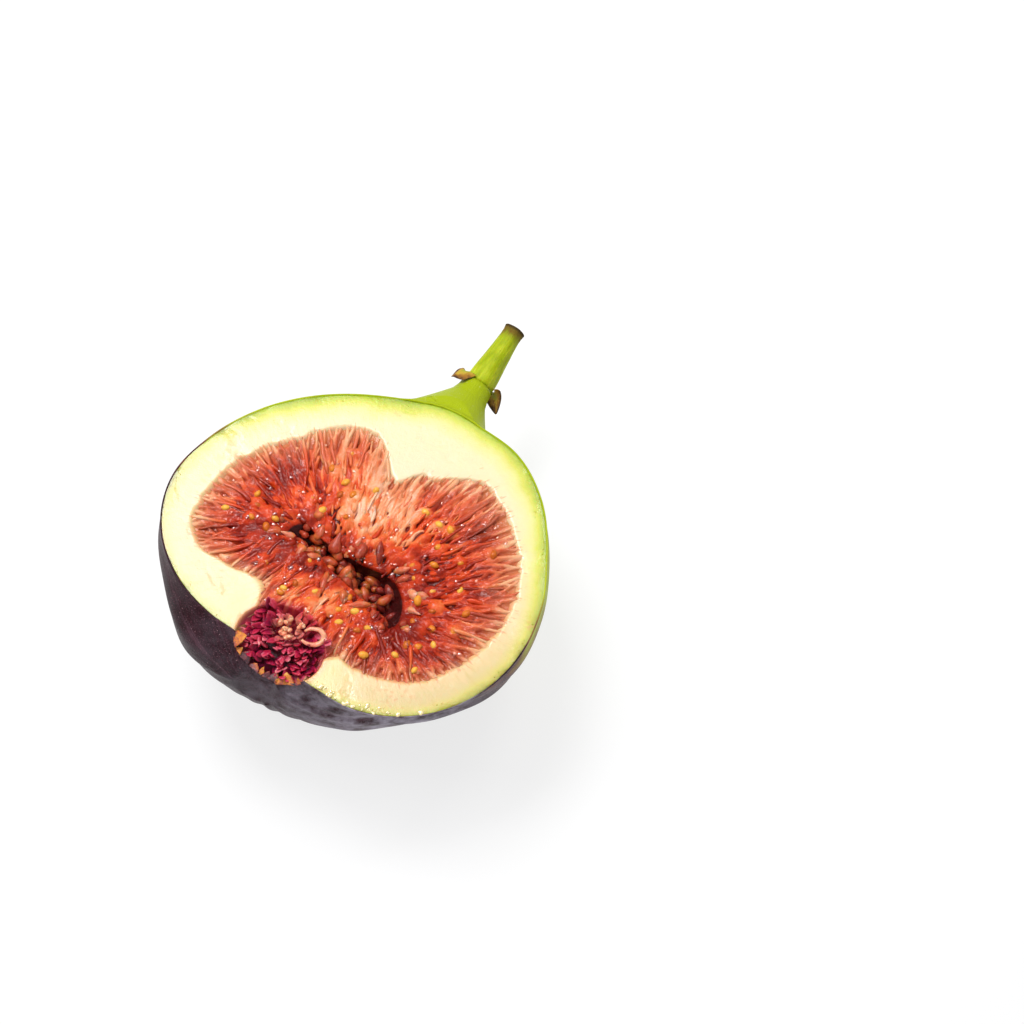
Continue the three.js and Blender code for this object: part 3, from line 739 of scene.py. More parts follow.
colour = wall.mix(colour, "c98a4a", stains * 0.5)
colour = wall.mix(colour, "e8a878", wall.stored("warm") * 0.4)
drops = wall.cells(where, 1.5).rise(0.22, 0.12) * from_skin.rise(2.2, 0.5)
drops = drops * wall.noise(where, 0.3).rise(0.48, 0.6)
relief = fine * 0.35 + fibres * 0.35 + drops * 1.4 + wall.noise(where, 6.0, detail=2) * 0.15
flesh.data.materials.append(wall.feed(
    base_color=colour,
    roughness=0.42 - wall.noise(where, 0.5, detail=3) * 0.16 - drops * 0.2,
    normal=wall.bump(relief, 0.12),
))

# %% [markdown]
# ## Pulp
# The florets grow from the flesh towards the hollow, so a point of the pulp has two natural coordinates:
# its angle, and its share of the way out from the hollow's rim. They stand in rows like the tufts of a
# carpet. The outermost row is rooted in the flesh; each row further in is shorter, thicker and redder. Rows
# and florets are shifted at random, so the rows don't show. One function lists them, for the bed here and
# for the loose strands further on.

# %% Where the florets are
HOLLOW_DEPTH = 7.5
PALE_PATCHES = [(4, 11, 7), (0, 6, 4.5), (5.5, 5.5, 4), (-6.5, -6.5, 5), (9, 4, 3)]
ROWS = [
    # share of the outer end, then spacing, length and width in mm
    (1.05, 0.98, 7.5, 1.15),
    (0.96, 2.10, 6.0, 1.05),
    (0.88, 0.84, 5.6, 0.88),
    (0.76, 0.84, 5.0, 0.92),
    (0.64, 0.88, 4.6, 0.98),
    (0.52, 0.90, 4.2, 1.02),
    (0.40, 0.94, 3.6, 1.06),
    (0.28, 0.98, 3.0, 1.10),
    (0.17, 1.05, 2.4, 1.15),
]


def on_face(degrees, share):
    """A point of the face by its angle and its share of the way from the hollow to the flesh."""
    rim, edge = hollow_rim(degrees), pulp_edge(degrees)[..., None] * heading(degrees)[..., :2]
    share = np.asarray(share)[..., None]
    return rim + (edge - rim) * share


def bed_height(x, y, share):
    lumps = 0.3 * wander(x * 0.6, y * 0.6, 21) + 0.1 * wander(x * 1.7, y * 1.7, 22)
    sag = 1.0 * (1 - ease(share, -0.05, 0.2))
    fall = -0.48 - 0.2 * ease(1 - share, 0.0, 0.4) - sag + lumps * ease(1.02 - share, 0, 0.25)
    fall = fall - 0.7 * ease(share, 1.03, 1.1)
    return np.minimum(fall, dish_height(x, y) - 0.55 + 0.3 * lumps)


def perimeter_turns(share, spacing, chance):
    """Angles that are evenly spaced along the closed line at one share of the way out."""
    degrees = np.linspace(0, 360, 721)
    line = on_face(degrees, 0 * degrees + share)
    run = np.append(0, np.cumsum(np.linalg.norm(np.diff(line, axis=0), axis=1)))
    count = int(run[-1] / spacing)
    at = (np.arange(count) + 0.8 * chance.random(count)) * run[-1] / count
    return np.interp(at, run, degrees)


def floret_rows(seed, spread_out=1.0):
    """Start, direction, length, width and tint of every floret, row by row."""
    chance = np.random.default_rng(seed)
    found = []
    for share, spacing, length, width in ROWS:
        degrees = perimeter_turns(share, spacing * spread_out, chance)
        count = len(degrees)
        loose = 0.035 * chance.normal(0, 1, count) if share < 1 else 0.05 * chance.random(count) - 0.03
        outer = share + loose
        start, inner = on_face(degrees, outer), on_face(degrees, np.maximum(outer - 0.1, -0.1))
        to_rim = np.linalg.norm(on_face(degrees, 0 * degrees) - start, axis=1)
        ahead = (inner - start) / np.linalg.norm(inner - start, axis=1)[:, None]
        sway = 0.13 * chance.normal(0, 1, count)[:, None]
        ahead = ahead * np.cos(sway) + ahead[:, ::-1] * [-1, 1] * np.sin(sway)
        longer = np.minimum(length * (0.7 + 0.6 * chance.random(count)), to_rim * 0.95 + 0.8)
        thick = width * (0.6 + 0.7 * chance.random(count) ** 1.3)
        found.append(np.column_stack([start, ahead, longer, thick, chance.random(count), outer]))
    return np.concatenate(found)


print("florets in the bed:", len(floret_rows(7)))

# %% [markdown]
# The bed is one wet surface: the florets are fused with it, and only stand out as soft ridges with dark
# lines in between. So their relief is worked out as heights. Each floret raises a rounded ridge with a wavy
# middle line, and round the hollow there are swollen knobs. A soft maximum melts the ridges together where
# they meet. The points keep how high they are on a ridge and that ridge's own tint, for the colours.

# %% Where the seeds are
def strewn(count, low, high, apart, seed):
    """Random places on the pulp between two shares of the way out, off the eye and none too near another."""
    chance = np.random.default_rng(seed)
    found = np.empty((0, 2))
    for _ in range(80 * count):
        degrees, share = np.array([chance.random() * 360]), low + (high - low) * chance.random(1)
        xy = on_face(degrees, share)
        clear = dish_distance(np.column_stack([xy, [0]]))[0] > 1.2
        if len(found) < count and clear and np.linalg.norm(found - xy, axis=1).min(initial=99) > apart:
            found = np.vstack([found, xy])
    return found


SEED_PLACES = np.concatenate([strewn(36, 0.08, 0.6, 1.4, 31), strewn(16, 0.5, 0.85, 2.2, 33)])
print("seeds:", len(SEED_PLACES))

# %% Relief of the florets
MELT = 11.0
WAVE_HEIGHT = 0.34
WAVE_LENGTH = 4.4
KNOBS = 330


def knobs(seed):
    """Middle, direction, half sizes and tint of the swollen knobs round the hollow."""
    chance = np.random.default_rng(seed)
    degrees, share = chance.random(KNOBS) * 360, -0.06 + 0.5 * chance.random(KNOBS) ** 1.5
    middle = on_face(degrees, share)
    ahead = on_face(degrees, share - 0.1) - middle
    ahead /= np.linalg.norm(ahead, axis=1)[:, None]
    size = 0.5 + 0.6 * chance.random(KNOBS) ** 1.6
    long = size * (1.1 + 0.6 * chance.random(KNOBS))
    return np.column_stack([middle, ahead, long, size, chance.random(KNOBS)])


def pods(places):
    """A round swelling under every seed, listed like the knobs."""
    number = np.arange(len(places))
    wide = 0.95 + 0.25 * np.sin(number * 2.4)
    level = np.tile([1.0, 0.0], (len(places), 1))
    return np.column_stack([places, level, wide * 1.1, wide, 0.55 + 0.4 * np.sin(number * 1.7) ** 2])


def raised(x, y):
    """Height over the bed, and tint, at many points, melted together from all ridges and knobs."""
    total, tinted = np.ones_like(x), 0.35 * np.ones_like(x)
    chance = np.random.default_rng(8)
    for sx, sy, ax, ay, length, width, tint, _ in floret_rows(7):
        phase, height = chance.random() * 6.3, 0.3 + 0.26 * chance.random()
        box = length * 0.6 + 1
        near = (np.abs(x - sx - ax * length / 2) < box) & (np.abs(y - sy - ay * length / 2) < box)
        dx, dy = x[near] - sx, y[near] - sy
        u = dx * ax + dy * ay
        v = dy * ax - dx * ay - WAVE_HEIGHT * np.sin(u / length * WAVE_LENGTH + phase)
        t = np.clip(u / length, 0, 1)
        round_end = np.sqrt(np.clip(1 - ((t - 0.6) / 0.4).clip(0) ** 2, 0.02, 1))
        half = 0.5 * width * (0.62 + 0.5 * ease(t, 0.1, 0.8)) * round_end
        dome = np.clip(1 - (v / half) ** 2, 0, 1) * ((u > 0) & (u < length)) * ease(t, 0, 0.08)
        melt = np.exp(MELT * height * dome) - 1
        total[near] += melt
        tinted[near] += melt * tint
    for mx, my, ax, ay, long, wide, tint in np.concatenate([knobs(9), pods(SEED_PLACES)]):
        near = (np.abs(x - mx) < 2.2) & (np.abs(y - my) < 2.2)
        dx, dy = x[near] - mx, y[near] - my
        u, v = dx * ax + dy * ay, dy * ax - dx * ay
        dome = np.clip(1 - (u / long) ** 2 - (v / wide) ** 2, 0, 1)
        melt = np.exp(MELT * (0.35 + 0.45 * wide) * np.sqrt(dome)) - 1
        total[near] += melt
        tinted[near] += melt * (0.25 + 0.75 * tint)
    return np.log(total) / MELT, tinted / total


# %% Bed of the pulp
BED_COLUMNS = 780
BED_ROWS = 112
HOLLOW_RINGS = [(0.93, 0.12), (0.84, 0.3), (0.74, 0.5), (0.6, 0.68), (0.45, 0.82), (0.3, 0.92), (0.14, 0.98)]


def pale_near(p):
    """One in the middle of each pale patch of the pulp, falling softly to nought."""
    return sum(soft_spot(p, *patch) for patch in PALE_PATCHES)


def build_bed():
    degrees = np.arange(BED_COLUMNS) * 360 / BED_COLUMNS
    shares = np.repeat(np.linspace(1.1, 0, BED_ROWS)[:, None], BED_COLUMNS, 1)
    xy = on_face(np.broadcast_to(degrees, shares.shape), shares)
    x, y = xy[..., 0], xy[..., 1]
    crest, tint = raised(x.ravel(), y.ravel())
    crest, tint = crest.reshape(x.shape), tint.reshape(x.shape)
    fine = 0.03 * wander(x * 3.1, y * 3.1, 24)
    face = np.stack([x, y, bed_height(x, y, shares) + crest + fine], -1)
    rows, row_shares = list(face), list(shares)
    rim = face[-1]
    for narrow, drop in HOLLOW_RINGS:
        wall = HOLLOW_MIDDLE + (rim[:, :2] - HOLLOW_MIDDLE) * narrow
        lumps = 0.45 * wander(wall[:, 0] * 0.9 + drop * 5, wall[:, 1] * 0.9, 23)
        level = rim[:, 2] * (1 - drop) - 1.2 * drop - drop * (HOLLOW_DEPTH - 2.5) + lumps
        rows.append(np.column_stack([wall, level]))
        row_shares.append(0 * degrees - drop)
    rows, row_shares = [rows[0] - [0, 0, 3.0], *rows], [row_shares[0], *row_shares]
    points = np.concatenate(rows + [[[*HOLLOW_MIDDLE, -HOLLOW_DEPTH]]])
    faces = [quad[::-1] for quad in grid_faces(len(rows), BED_COLUMNS, wrap=True)]
    last = (len(rows) - 1) * BED_COLUMNS
    faces += [[len(points) - 1, last + k, last + (k + 1) % BED_COLUMNS] for k in range(BED_COLUMNS)]
    turn = np.arctan2(points[:, 1] - HOLLOW_MIDDLE[1], points[:, 0] - HOLLOW_MIDDLE[0])
    share = np.append(np.concatenate(row_shares), -1.0)
    outside, inside = np.zeros(BED_COLUMNS), np.zeros(BED_COLUMNS * len(HOLLOW_RINGS) + 1)
    numbers = {
        "share": share,
        "course": polar(turn, 14, share * 3),
        "eye": dish_distance(points),
        "low": -points[:, 2],
        "pale": pale_near(points),
        "crest": np.concatenate([outside, crest.ravel(), inside]),
        "tint": np.concatenate([outside, tint.ravel(), inside + 0.3]),
    }
    return make_piece("fig_pulp_bed", points, faces, numbers)


bed = build_bed()
report(bed)

# %% [markdown]
# Bed, strands and bulbs share one way of colouring, so they look like one flesh. Ridges run from cream at the
# flesh, over salmon, to brick red near the hollow, each with its own tint; the lines between them are darker,
# and deeper in the hollow everything is painted darker, to wine red, as painted shade. A thin wet coat gives
# the small sharp glints.

# %% Finish of the pulp
WET = {"specular_ior_level": 0.2, "coat_weight": 0.35, "coat_ior": 1.4, "coat_roughness": 0.04}
RED_GLOW = {"subsurface_weight": 0.45, "subsurface_scale": 0.0008, "subsurface_radius": (1.0, 0.35, 0.2)}
RIDGE_COLOURS = [
    (0.0, "7e1404"), (0.18, "a82606"), (0.36, "c83a0e"), (0.52, "d85220"), (0.68, "e4763e"), (0.84, "ea9a6c"),
    (1.0, "f0b898"),
]
GROOVE_COLOURS = [
    (0.0, "340606"), (0.3, "640e05"), (0.6, "881b05"), (0.8, "9c3416"), (0.92, "c06a40"), (1.0, "d29a68"),
]


def pulp_colour(finish, where, ridge):
    """The colour that bed, strands and juice share, and the fine grain in it."""
    share, tint = finish.stored("share"), finish.stored("tint")
    patches, grain = finish.noise(where, 0.15, detail=3), finish.noise(where, 2.4, detail=3, rough=0.6)
    paleness = share * 0.42 + (tint - 0.5) * 0.62 + (patches - 0.5) * 1.1 + (grain - 0.5) * 0.3
    paleness = paleness + finish.stored("pale") * 0.38 + 0.03
    colour = finish.ramp(paleness, RIDGE_COLOURS)
    colour = finish.mix(colour, "bc7654", (share + (patches - 0.5) * 0.6).rise(0.5, 0.95) * 0.45)
    outer_end = (share + (tint - 0.5) * 0.2).rise(0.84, 1.05)
    colour = finish.mix(colour, "e6b48a", outer_end * 0.8)
    groove = finish.ramp(share * 0.95 + (patches - 0.5) * 0.2, GROOVE_COLOURS)
    colour = finish.mix(groove, colour, ridge)
    # Painted shade: the pulp darkens to wine red the deeper it lies in the hollow.
    painted_depth_shade = finish.stored("low").rise(1.8, 4.4)
    colour = finish.mix(colour, "480b0b", painted_depth_shade * 0.85)
    return finish.mix(colour, "9c1c3c", finish.stored("eye").rise(1.4, -0.4) * 0.8), grain


ground = Finish("fig pulp bed", **RED_GLOW, **WET)
where = ground.place()
threads = ground.noise(ground.stored("course", "Vector"), 5.0, detail=3, rough=0.55)
ridge = (ground.stored("crest") + (threads - 0.5) * 0.24).rise(0.06, 0.32)
colour, grain = pulp_colour(ground, where, ridge)
relief = threads * 0.5 + grain * 0.5 + ground.noise(where, 5.0, detail=2) * 0.3
pulp_finish = ground.feed(base_color=colour, roughness=0.12 + grain * 0.2, normal=ground.bump(relief, 0.26))
bed.data.materials.append(pulp_finish)

# %% [markdown]
# ## Scattering small shapes
# Florets, seeds, scales and drops are each a few small shapes, repeated many times. A geometry nodes tree
# puts them on points: every point carries the shape it wants, its turn and its size. The tree turns each
# copy a little at random, makes all copies real, and lets a noise bend them, so that no two are alike. The
# result is kept as a plain mesh, so the tree isn't needed afterwards.

# %% The scatter tree
INPUTS = [
    ("Points", "NodeSocketGeometry"),
    ("Shapes", "NodeSocketCollection"),
    ("Jitter", "NodeSocketVector"),
    ("Wobble", "NodeSocketFloat"),
    ("Wobble Scale", "NodeSocketFloat"),
    ("Seed", "NodeSocketInt"),
    ("Finish", "NodeSocketMaterial"),
]


def scatter_tree():
    """Shapes on points, turned, made real, bent and dressed."""
    tree = bpy.data.node_groups.new("scatter shapes", "GeometryNodeTree")
    for name, kind in INPUTS:
        tree.interface.new_socket(name, in_out="INPUT", socket_type=kind)
    tree.interface.new_socket("Geometry", in_out="OUTPUT", socket_type="NodeSocketGeometry")
    given = tree.nodes.new("NodeGroupInput")
    want = {name: Value(tree, given.outputs[name]) for name, _ in INPUTS}

    def make(kind, settings, fed, output=0):
        return node(tree, kind, settings, fed, output)

    def carried(name, kind):
        return make("GeometryNodeInputNamedAttribute", {"data_type": kind}, {"Name": name})

    shapes = {"Collection": want["Shapes"], "Separate Children": True, "Reset Children": True}
    shapes = make("GeometryNodeCollectionInfo", {}, shapes)
    turn = make("FunctionNodeEulerToRotation", {}, {0: carried("turn", "FLOAT_VECTOR")})
    placing = {"Points": want["Points"], "Instance": shapes, "Pick Instance": True}
    placing.update({"Instance Index": carried("pick", "INT"), "Rotation": turn})
    placing["Scale"] = carried("size", "FLOAT_VECTOR")
    copies = make("GeometryNodeInstanceOnPoints", {}, placing)
    least = make("ShaderNodeVectorMath", {"operation": "SCALE"}, {0: want["Jitter"], "Scale": -1.0})
    chance = {"Min": least, "Max": want["Jitter"], "Seed": want["Seed"]}
    chance = make("FunctionNodeRandomValue", {"data_type": "FLOAT_VECTOR"}, chance)
    spin = make("FunctionNodeEulerToRotation", {}, {0: chance})
    copies = make("GeometryNodeRotateInstances", {}, {"Instances": copies, "Rotation": spin})
    real = make("GeometryNodeRealizeInstances", {}, {"Geometry": copies})
    waves = {"Scale": want["Wobble Scale"], "W": want["Seed"] * 3.7, "Detail": 1.0}
    waves = make("ShaderNodeTexNoise", {"noise_dimensions": "4D"}, waves, output="Color")
    centred = make("ShaderNodeVectorMath", {"operation": "SUBTRACT"}, {0: waves, 1: (0.5, 0.5, 0.5)})
    shift = make("ShaderNodeVectorMath", {"operation": "SCALE"}, {0: centred, "Scale": want["Wobble"]})
    bent = make("GeometryNodeSetPosition", {}, {"Geometry": real, "Offset": shift})
    dressed = make("GeometryNodeSetMaterial", {}, {"Geometry": bent, "Material": want["Finish"]})
    smooth = make("GeometryNodeSetShadeSmooth", {}, {"Geometry": dressed})
    end = tree.nodes.new("NodeGroupOutput")
    tree.links.new(smooth.socket, end.inputs["Geometry"])
    return tree


SCATTER = scatter_tree()
print("the scatter tree has", len(SCATTER.nodes), "nodes")


# %% Points that carry turns and sizes
def turns_for(ahead, outward):
    """The turns that point each shape's x along one direction and its z as near to another as can be."""
    x = ahead / np.linalg.norm(ahead, axis=1)[:, None]
    y = np.cross(outward, x)
    y /= np.linalg.norm(y, axis=1)[:, None]
    z = np.cross(x, y)
    x, y, z = x @ TILT.T, y @ TILT.T, z @ TILT.T
    side = -np.arcsin(np.clip(x[:, 2], -1, 1))
    return np.stack([np.arctan2(y[:, 2], z[:, 2]), side, np.arctan2(x[:, 1], x[:, 0])], 1)


def scatter(
    name, spots, ahead, outward, size_mm, shapes, finish, jitter, wobble, wave, seed, tint=None, extra=None,
):
    """Puts shapes on spots, x ahead and z as near outward as can be, and keeps them as a plain piece."""
    chance = np.random.default_rng(seed)
    outward = np.tile(outward, (len(spots), 1))
    mesh = bpy.data.meshes.new(name + " points")
    mesh.from_pydata(to_model(spots).tolist(), [], [])
    store(mesh, {
        "turn": turns_for(ahead, outward),
        "size": size_mm / 1000,
        "pick": chance.integers(0, len(shapes), len(spots)),
        "tint": chance.random(len(spots)) if tint is None else tint,
    })
    holder = bpy.data.objects.new(name, mesh)
    scene.collection.objects.link(holder)
    group = bpy.data.collections.new(name + " shapes")
    for shape in shapes:
        group.objects.link(shape)
    step = holder.modifiers.new("scatter", "NODES")
    step.node_group = SCATTER
    settings = {"Shapes": group, "Jitter": [math.radians(a) for a in jitter], "Wobble": wobble / 1000}
    settings.update({"Wobble Scale": 1000 / wave, "Seed": seed, "Finish": finish})
    for socket in SCATTER.interface.items_tree:
        if socket.in_out == "INPUT" and socket.name in settings:
            step[socket.identifier] = settings[socket.name]
    graph = bpy.context.evaluated_depsgraph_get()
    plain = bpy.data.meshes.new_from_object(holder.evaluated_get(graph))
    holder.modifiers.remove(step)
    holder.data = plain
    bpy.data.collections.remove(group)
    if extra:
        store(plain, extra(points_of(holder)))
    report(holder)
    return holder


def points_of(piece):
    """A piece's points back in the cut's frame, in millimetres."""
    flat = np.empty(len(piece.data.vertices) * 3)
    piece.data.vertices.foreach_get("co", flat)
    return (flat.reshape(-1, 3) * 1000 - CUT_MIDDLE) @ TILT


# %% Small shapes
UNIT_WELD = 0.00001


def small_shape(name, rows, sides, numbers):
    """A closed body of unit length, in no frame yet; numbers gives what to store from its points."""
    ends = [row.mean(0, keepdims=True) for row in (rows[0], rows[-1])]
    points = np.concatenate([*rows, *ends])
    mesh = bpy.data.meshes.new(name)
    mesh.from_pydata(points.tolist(), [], closed_faces(len(rows), sides))
    store(mesh, numbers(points))
    return weld(bpy.data.objects.new(name, mesh), UNIT_WELD)


def along_shape(p):
    return {"reach": p[:, 0]}


def lathe_shape(name, profile, sides, bend=0.0):
    """A round body along x, from radii at places along it, bent sideways in an arc."""
    turns = np.arange(sides) * 2 * np.pi / sides
    rows = []
    for x, radius in profile:
        shift = bend * 4 * x * (1 - x)
        rows.append(np.stack([0 * turns + x, shift + radius * np.cos(turns), radius * np.sin(turns)], 1))
    return small_shape(name, rows, sides, along_shape)


def strand_profile(widest):
    """Radii along a strand, thick near its free end, with a swelling that differs from one to the next."""
    places = [0.0, 0.1, 0.28, 0.5, 0.72, 0.88, 0.97, 1.0]
    bulge = [0.1, 0.24, 0.36, 0.42, 0.46, 0.40, 0.22, 0.04]
    return [(x, r * (1 + 0.25 * math.sin(5 * x + widest))) for x, r in zip(places, bulge)]


STRAND_BENDS = [0.05, -0.07, 0.14, -0.16]
SLIM_BULB = [
    (0, 0.03), (0.14, 0.13), (0.34, 0.2), (0.55, 0.36), (0.74, 0.48), (0.88, 0.42), (0.97, 0.22), (1, 0.03),
]
PLUMP_BULB = [(0, 0.03), (0.1, 0.22), (0.3, 0.42), (0.52, 0.5), (0.74, 0.44), (0.9, 0.28), (1, 0.04)]
SEED = [(0, 0.05), (0.07, 0.24), (0.22, 0.4), (0.42, 0.49), (0.62, 0.49), (0.8, 0.38), (0.93, 0.2), (1, 0.04)]
BEAD = [(0.03, 0.16), (0.16, 0.37), (0.5, 0.5), (0.84, 0.37), (0.97, 0.16)]
STRANDS = [lathe_shape(f"strand {k}", strand_profile(k), 6, bend) for k, bend in enumerate(STRAND_BENDS)]
BULBS = [lathe_shape("bulb 0", SLIM_BULB, 8, 0.08), lathe_shape("bulb 1", PLUMP_BULB, 8, -0.06)]
SEEDS = [lathe_shape("seed", SEED, 8, 0.02)]
BEADS = [lathe_shape("bead", BEAD, 8)]
print("small shapes:", len(STRANDS + BULBS + SEEDS + BEADS))

# %% [markdown]
# ## Loose strands
# Some florets have come away from the bed and lie on it. They follow the same rows, only with wide gaps, and
# the scatter tree bends and turns them. The part of each that is under the bed is simply hidden by it.

# %% Loose strands
def floret_numbers(p):
    """The share of the way out and the rest that the colours need, from each point's place."""
    degrees = np.degrees(np.arctan2(p[:, 1], p[:, 0]))
    for _ in range(3):
        rim = hollow_rim(degrees)
        line = pulp_edge(degrees)[:, None] * heading(degrees)[:, :2] - rim
        share = ((p[:, :2] - rim) * line).sum(1) / (line**2).sum(1)
        miss = p[:, :2] - rim - line * share[:, None]
        size = np.maximum(np.hypot(p[:, 0], p[:, 1]), 3)
        degrees = degrees + 0.7 * np.degrees((miss * heading(degrees + 90)[:, :2]).sum(1) / size)
    return {"share": share, "eye": dish_distance(p), "low": -p[:, 2], "pale": pale_near(p)}


loose = Finish("fig strands", **RED_GLOW, **WET)
where = loose.place()
reach_along = loose.stored("reach")
colour, grain = pulp_colour(loose, where, reach_along.rise(-0.3, 0.1) * reach_along.rise(1.15, 0.9))
strand_finish = loose.feed(
    base_color=colour,
    roughness=0.12 + grain * 0.2,
    normal=loose.bump(grain + loose.noise(where, 6.0) * 0.4, 0.1),
)

rows = floret_rows(17, spread_out=3.4)
rows = rows[dish_distance(rows[:, :2] @ np.eye(2, 3)) > -1.0]
start, ahead = rows[:, :2], rows[:, 2:4]
long, wide, tints, outer = rows[:, 4:].T
root = bed_height(start[:, 0], start[:, 1], outer) + 0.1
tip = start + ahead * long[:, None]
climb = (bed_height(tip[:, 0], tip[:, 1], np.clip(outer - 0.2, 0, 1)) + 0.3 - root) / long
strands = scatter(
    "fig_strands", np.column_stack([start, root]), np.column_stack([ahead, climb]), UP,
    np.column_stack([long, wide * 0.85, wide * 0.7]), STRANDS, strand_finish,
    jitter=(180, 5, 9), wobble=1.3, wave=3.4, seed=5, tint=tints, extra=floret_numbers,
)

# %% [markdown]
# ## Seeds, bulbs and juice
# Ripe seeds lie loose between the florets: small ochre drops, most of them half sunk. Round the hollow the
# florets end in swollen, glassy bulbs, each with a seed that shows through. Juice stands on the wet face in
# beads. All three use the scatter tree again, with their own shapes, sizes and finish.

# %% Seeds
kernel = Finish("fig seeds", subsurface_weight=0.25, subsurface_scale=0.0005, **WET)
where = kernel.place()
grain = kernel.noise(where, 3.0, detail=2)
shade = kernel.stored("tint") * 0.7 + grain * 0.5
colour = kernel.ramp(shade, [(0.1, "96360a"), (0.35, "bf5c12"), (0.62, "d98420"), (0.95, "eab044")])
colour = kernel.mix(colour, "8a3012", kernel.stored("reach").rise(0.2, 0.0) * 0.6)
seed_finish = kernel.feed(base_color=colour, roughness=0.25 + grain * 0.2, normal=kernel.bump(grain, 0.06))

chance = np.random.default_rng(34)
xy = SEED_PLACES + 0.3 * chance.normal(0, 1, SEED_PLACES.shape)
aim = chance.random(len(xy)) * 2 * np.pi
ahead = polar(aim, 1, 0.25 * chance.normal(0, 1, len(xy)))
scale = 0.72 + 0.35 * chance.random(len(xy))[:, None]
share = floret_numbers(np.column_stack([xy, 0 * aim]))["share"]
lifted = bed_height(xy[:, 0], xy[:, 1], share) + 0.42 + 0.2 * chance.random(len(xy))
spots = np.column_stack([xy, lifted]) - ahead * 0.7
seeds = scatter(
    "fig_seeds", spots, ahead, UP, [1.6, 1.15, 1.05] * scale, SEEDS, seed_finish,
    jitter=(40, 0, 0), wobble=0.12, wave=1.0, seed=32,
)

# %% Bulbs round the hollow
glass = Finish("fig bulbs", subsurface_weight=0.7, subsurface_scale=0.0012, **WET)
where = glass.place()
cloud = glass.noise(where, 0.9, detail=3, rough=0.6)
# The bulbs' milkiness, with painted shade: bulbs that lie deeper in the hollow are painted darker.
milky_and_shaded = glass.stored("tint") * 0.55 + (cloud - 0.5) * 0.6 + 0.25 - glass.stored("low").rise(0.8, 4.5) * 0.42
colour = glass.ramp(milky_and_shaded, [
    (0.0, "42101a"), (0.2, "7c2218"), (0.42, "ac4226"), (0.62, "cc6a48"), (0.8, "de9478"), (1.0, "ecbca4"),
])
reach_along = glass.stored("reach")
core = reach_along.rise(0.5, 0.72) * reach_along.rise(0.98, 0.8) * glass.stored("tint").rise(0.3, 0.5)
colour = glass.mix(colour, "d8802c", core * 0.35)
bulb_finish = glass.feed(
    base_color=colour,
    roughness=0.16 + cloud * 0.16,
    normal=glass.bump(cloud + glass.noise(where, 3.5) * 0.4, 0.16),
)

IN_HOLLOW = 64
IN_PIT = 22
PIT_MIDDLE = (5.4, -6.6, -3.9)
PIT_HALF = (1.5, 3.2, 1.2)
chance = np.random.default_rng(41)
places = []
for share, spacing in ((0.14, 5.0), (0.05, 2.5)):
    degrees = perimeter_turns(share, spacing, chance)
    places.append(np.column_stack([degrees, share + chance.normal(0, 0.03, len(degrees))]))
degrees, share = np.concatenate(places).T
xy = on_face(degrees, share)
inward = on_face(degrees, share - 0.1) - xy
inward /= np.linalg.norm(inward, axis=1)[:, None]
turned = chance.normal(0, 0.5, len(xy))
ahead = np.column_stack([
    inward[:, 0] * np.cos(turned) - inward[:, 1] * np.sin(turned),
    inward[:, 0] * np.sin(turned) + inward[:, 1] * np.cos(turned),
    -0.1 - 0.5 * (share < 0.08) + 0.15 * chance.normal(0, 1, len(xy)),
])
length = 2.3 + 2.0 * chance.random(len(xy)) ** 1.5
wide = 1.2 + 1.0 * chance.random(len(xy)) ** 1.5
low = bed_height(xy[:, 0], xy[:, 1], share)
spots = np.column_stack([xy, low + 0.2]) - ahead * (0.55 * length)[:, None]
rim_bulbs = (spots, ahead, np.column_stack([length, wide, wide * 0.85]), chance.random(len(xy)))

# inside the hollow
drop = 0.15 + 0.85 * chance.random(IN_HOLLOW) ** 0.7
turn = chance.random(IN_HOLLOW) * 360
narrow = 1.0 - 0.6 * drop
xy = HOLLOW_MIDDLE + (hollow_rim(turn) - HOLLOW_MIDDLE) * narrow[:, None]
middle = HOLLOW_MIDDLE - xy
ahead = np.column_stack([middle / np.linalg.norm(middle, axis=1)[:, None], 0.35 + 0 * drop])
length = 2.2 + 1.6 * chance.random(IN_HOLLOW)
spots = np.column_stack([xy, -1.4 - 4.2 * drop]) - ahead * 0.9
in_pit = chance.normal(0, 0.5, (IN_PIT, 3)) * PIT_HALF + PIT_MIDDLE
spots = np.concatenate([spots, in_pit])
length = np.append(length, 2.0 + 1.2 * chance.random(IN_PIT))
ahead = np.concatenate([ahead, chance.normal(0, 1, (IN_PIT, 3)) * [1, 1, 0.4] + [0, 0, 0.3]])
tints = 0.15 + 0.5 * chance.random(IN_HOLLOW + IN_PIT)
wall_bulbs = (spots, ahead, np.column_stack([length, length * 0.52, length * 0.48]), tints)
spots, ahead, sizes, tints = (np.concatenate(pair) for pair in zip(rim_bulbs, wall_bulbs))
bulbs = scatter(
    "fig_bulbs", spots, ahead, UP, sizes, BULBS, bulb_finish,
    jitter=(180, 12, 18), wobble=0.5, wave=1.8, seed=42, tint=tints, extra=floret_numbers,
)

# %% Beads of juice
JUICE_BEADS = 240
RIM_BEADS = 26
clear = Finish("fig juice", specular_ior_level=1.0, coat_weight=1.0, coat_ior=1.8, coat_roughness=0.02)
where = clear.place()
colour, grain = pulp_colour(clear, where, clear.stored("tint") * 0.3 + 0.7)
colour = clear.mix(colour, "e6d290", clear.stored("share").rise(1.04, 1.1))
juice_finish = clear.feed(base_color=colour, roughness=0.04 + grain * 0.08)

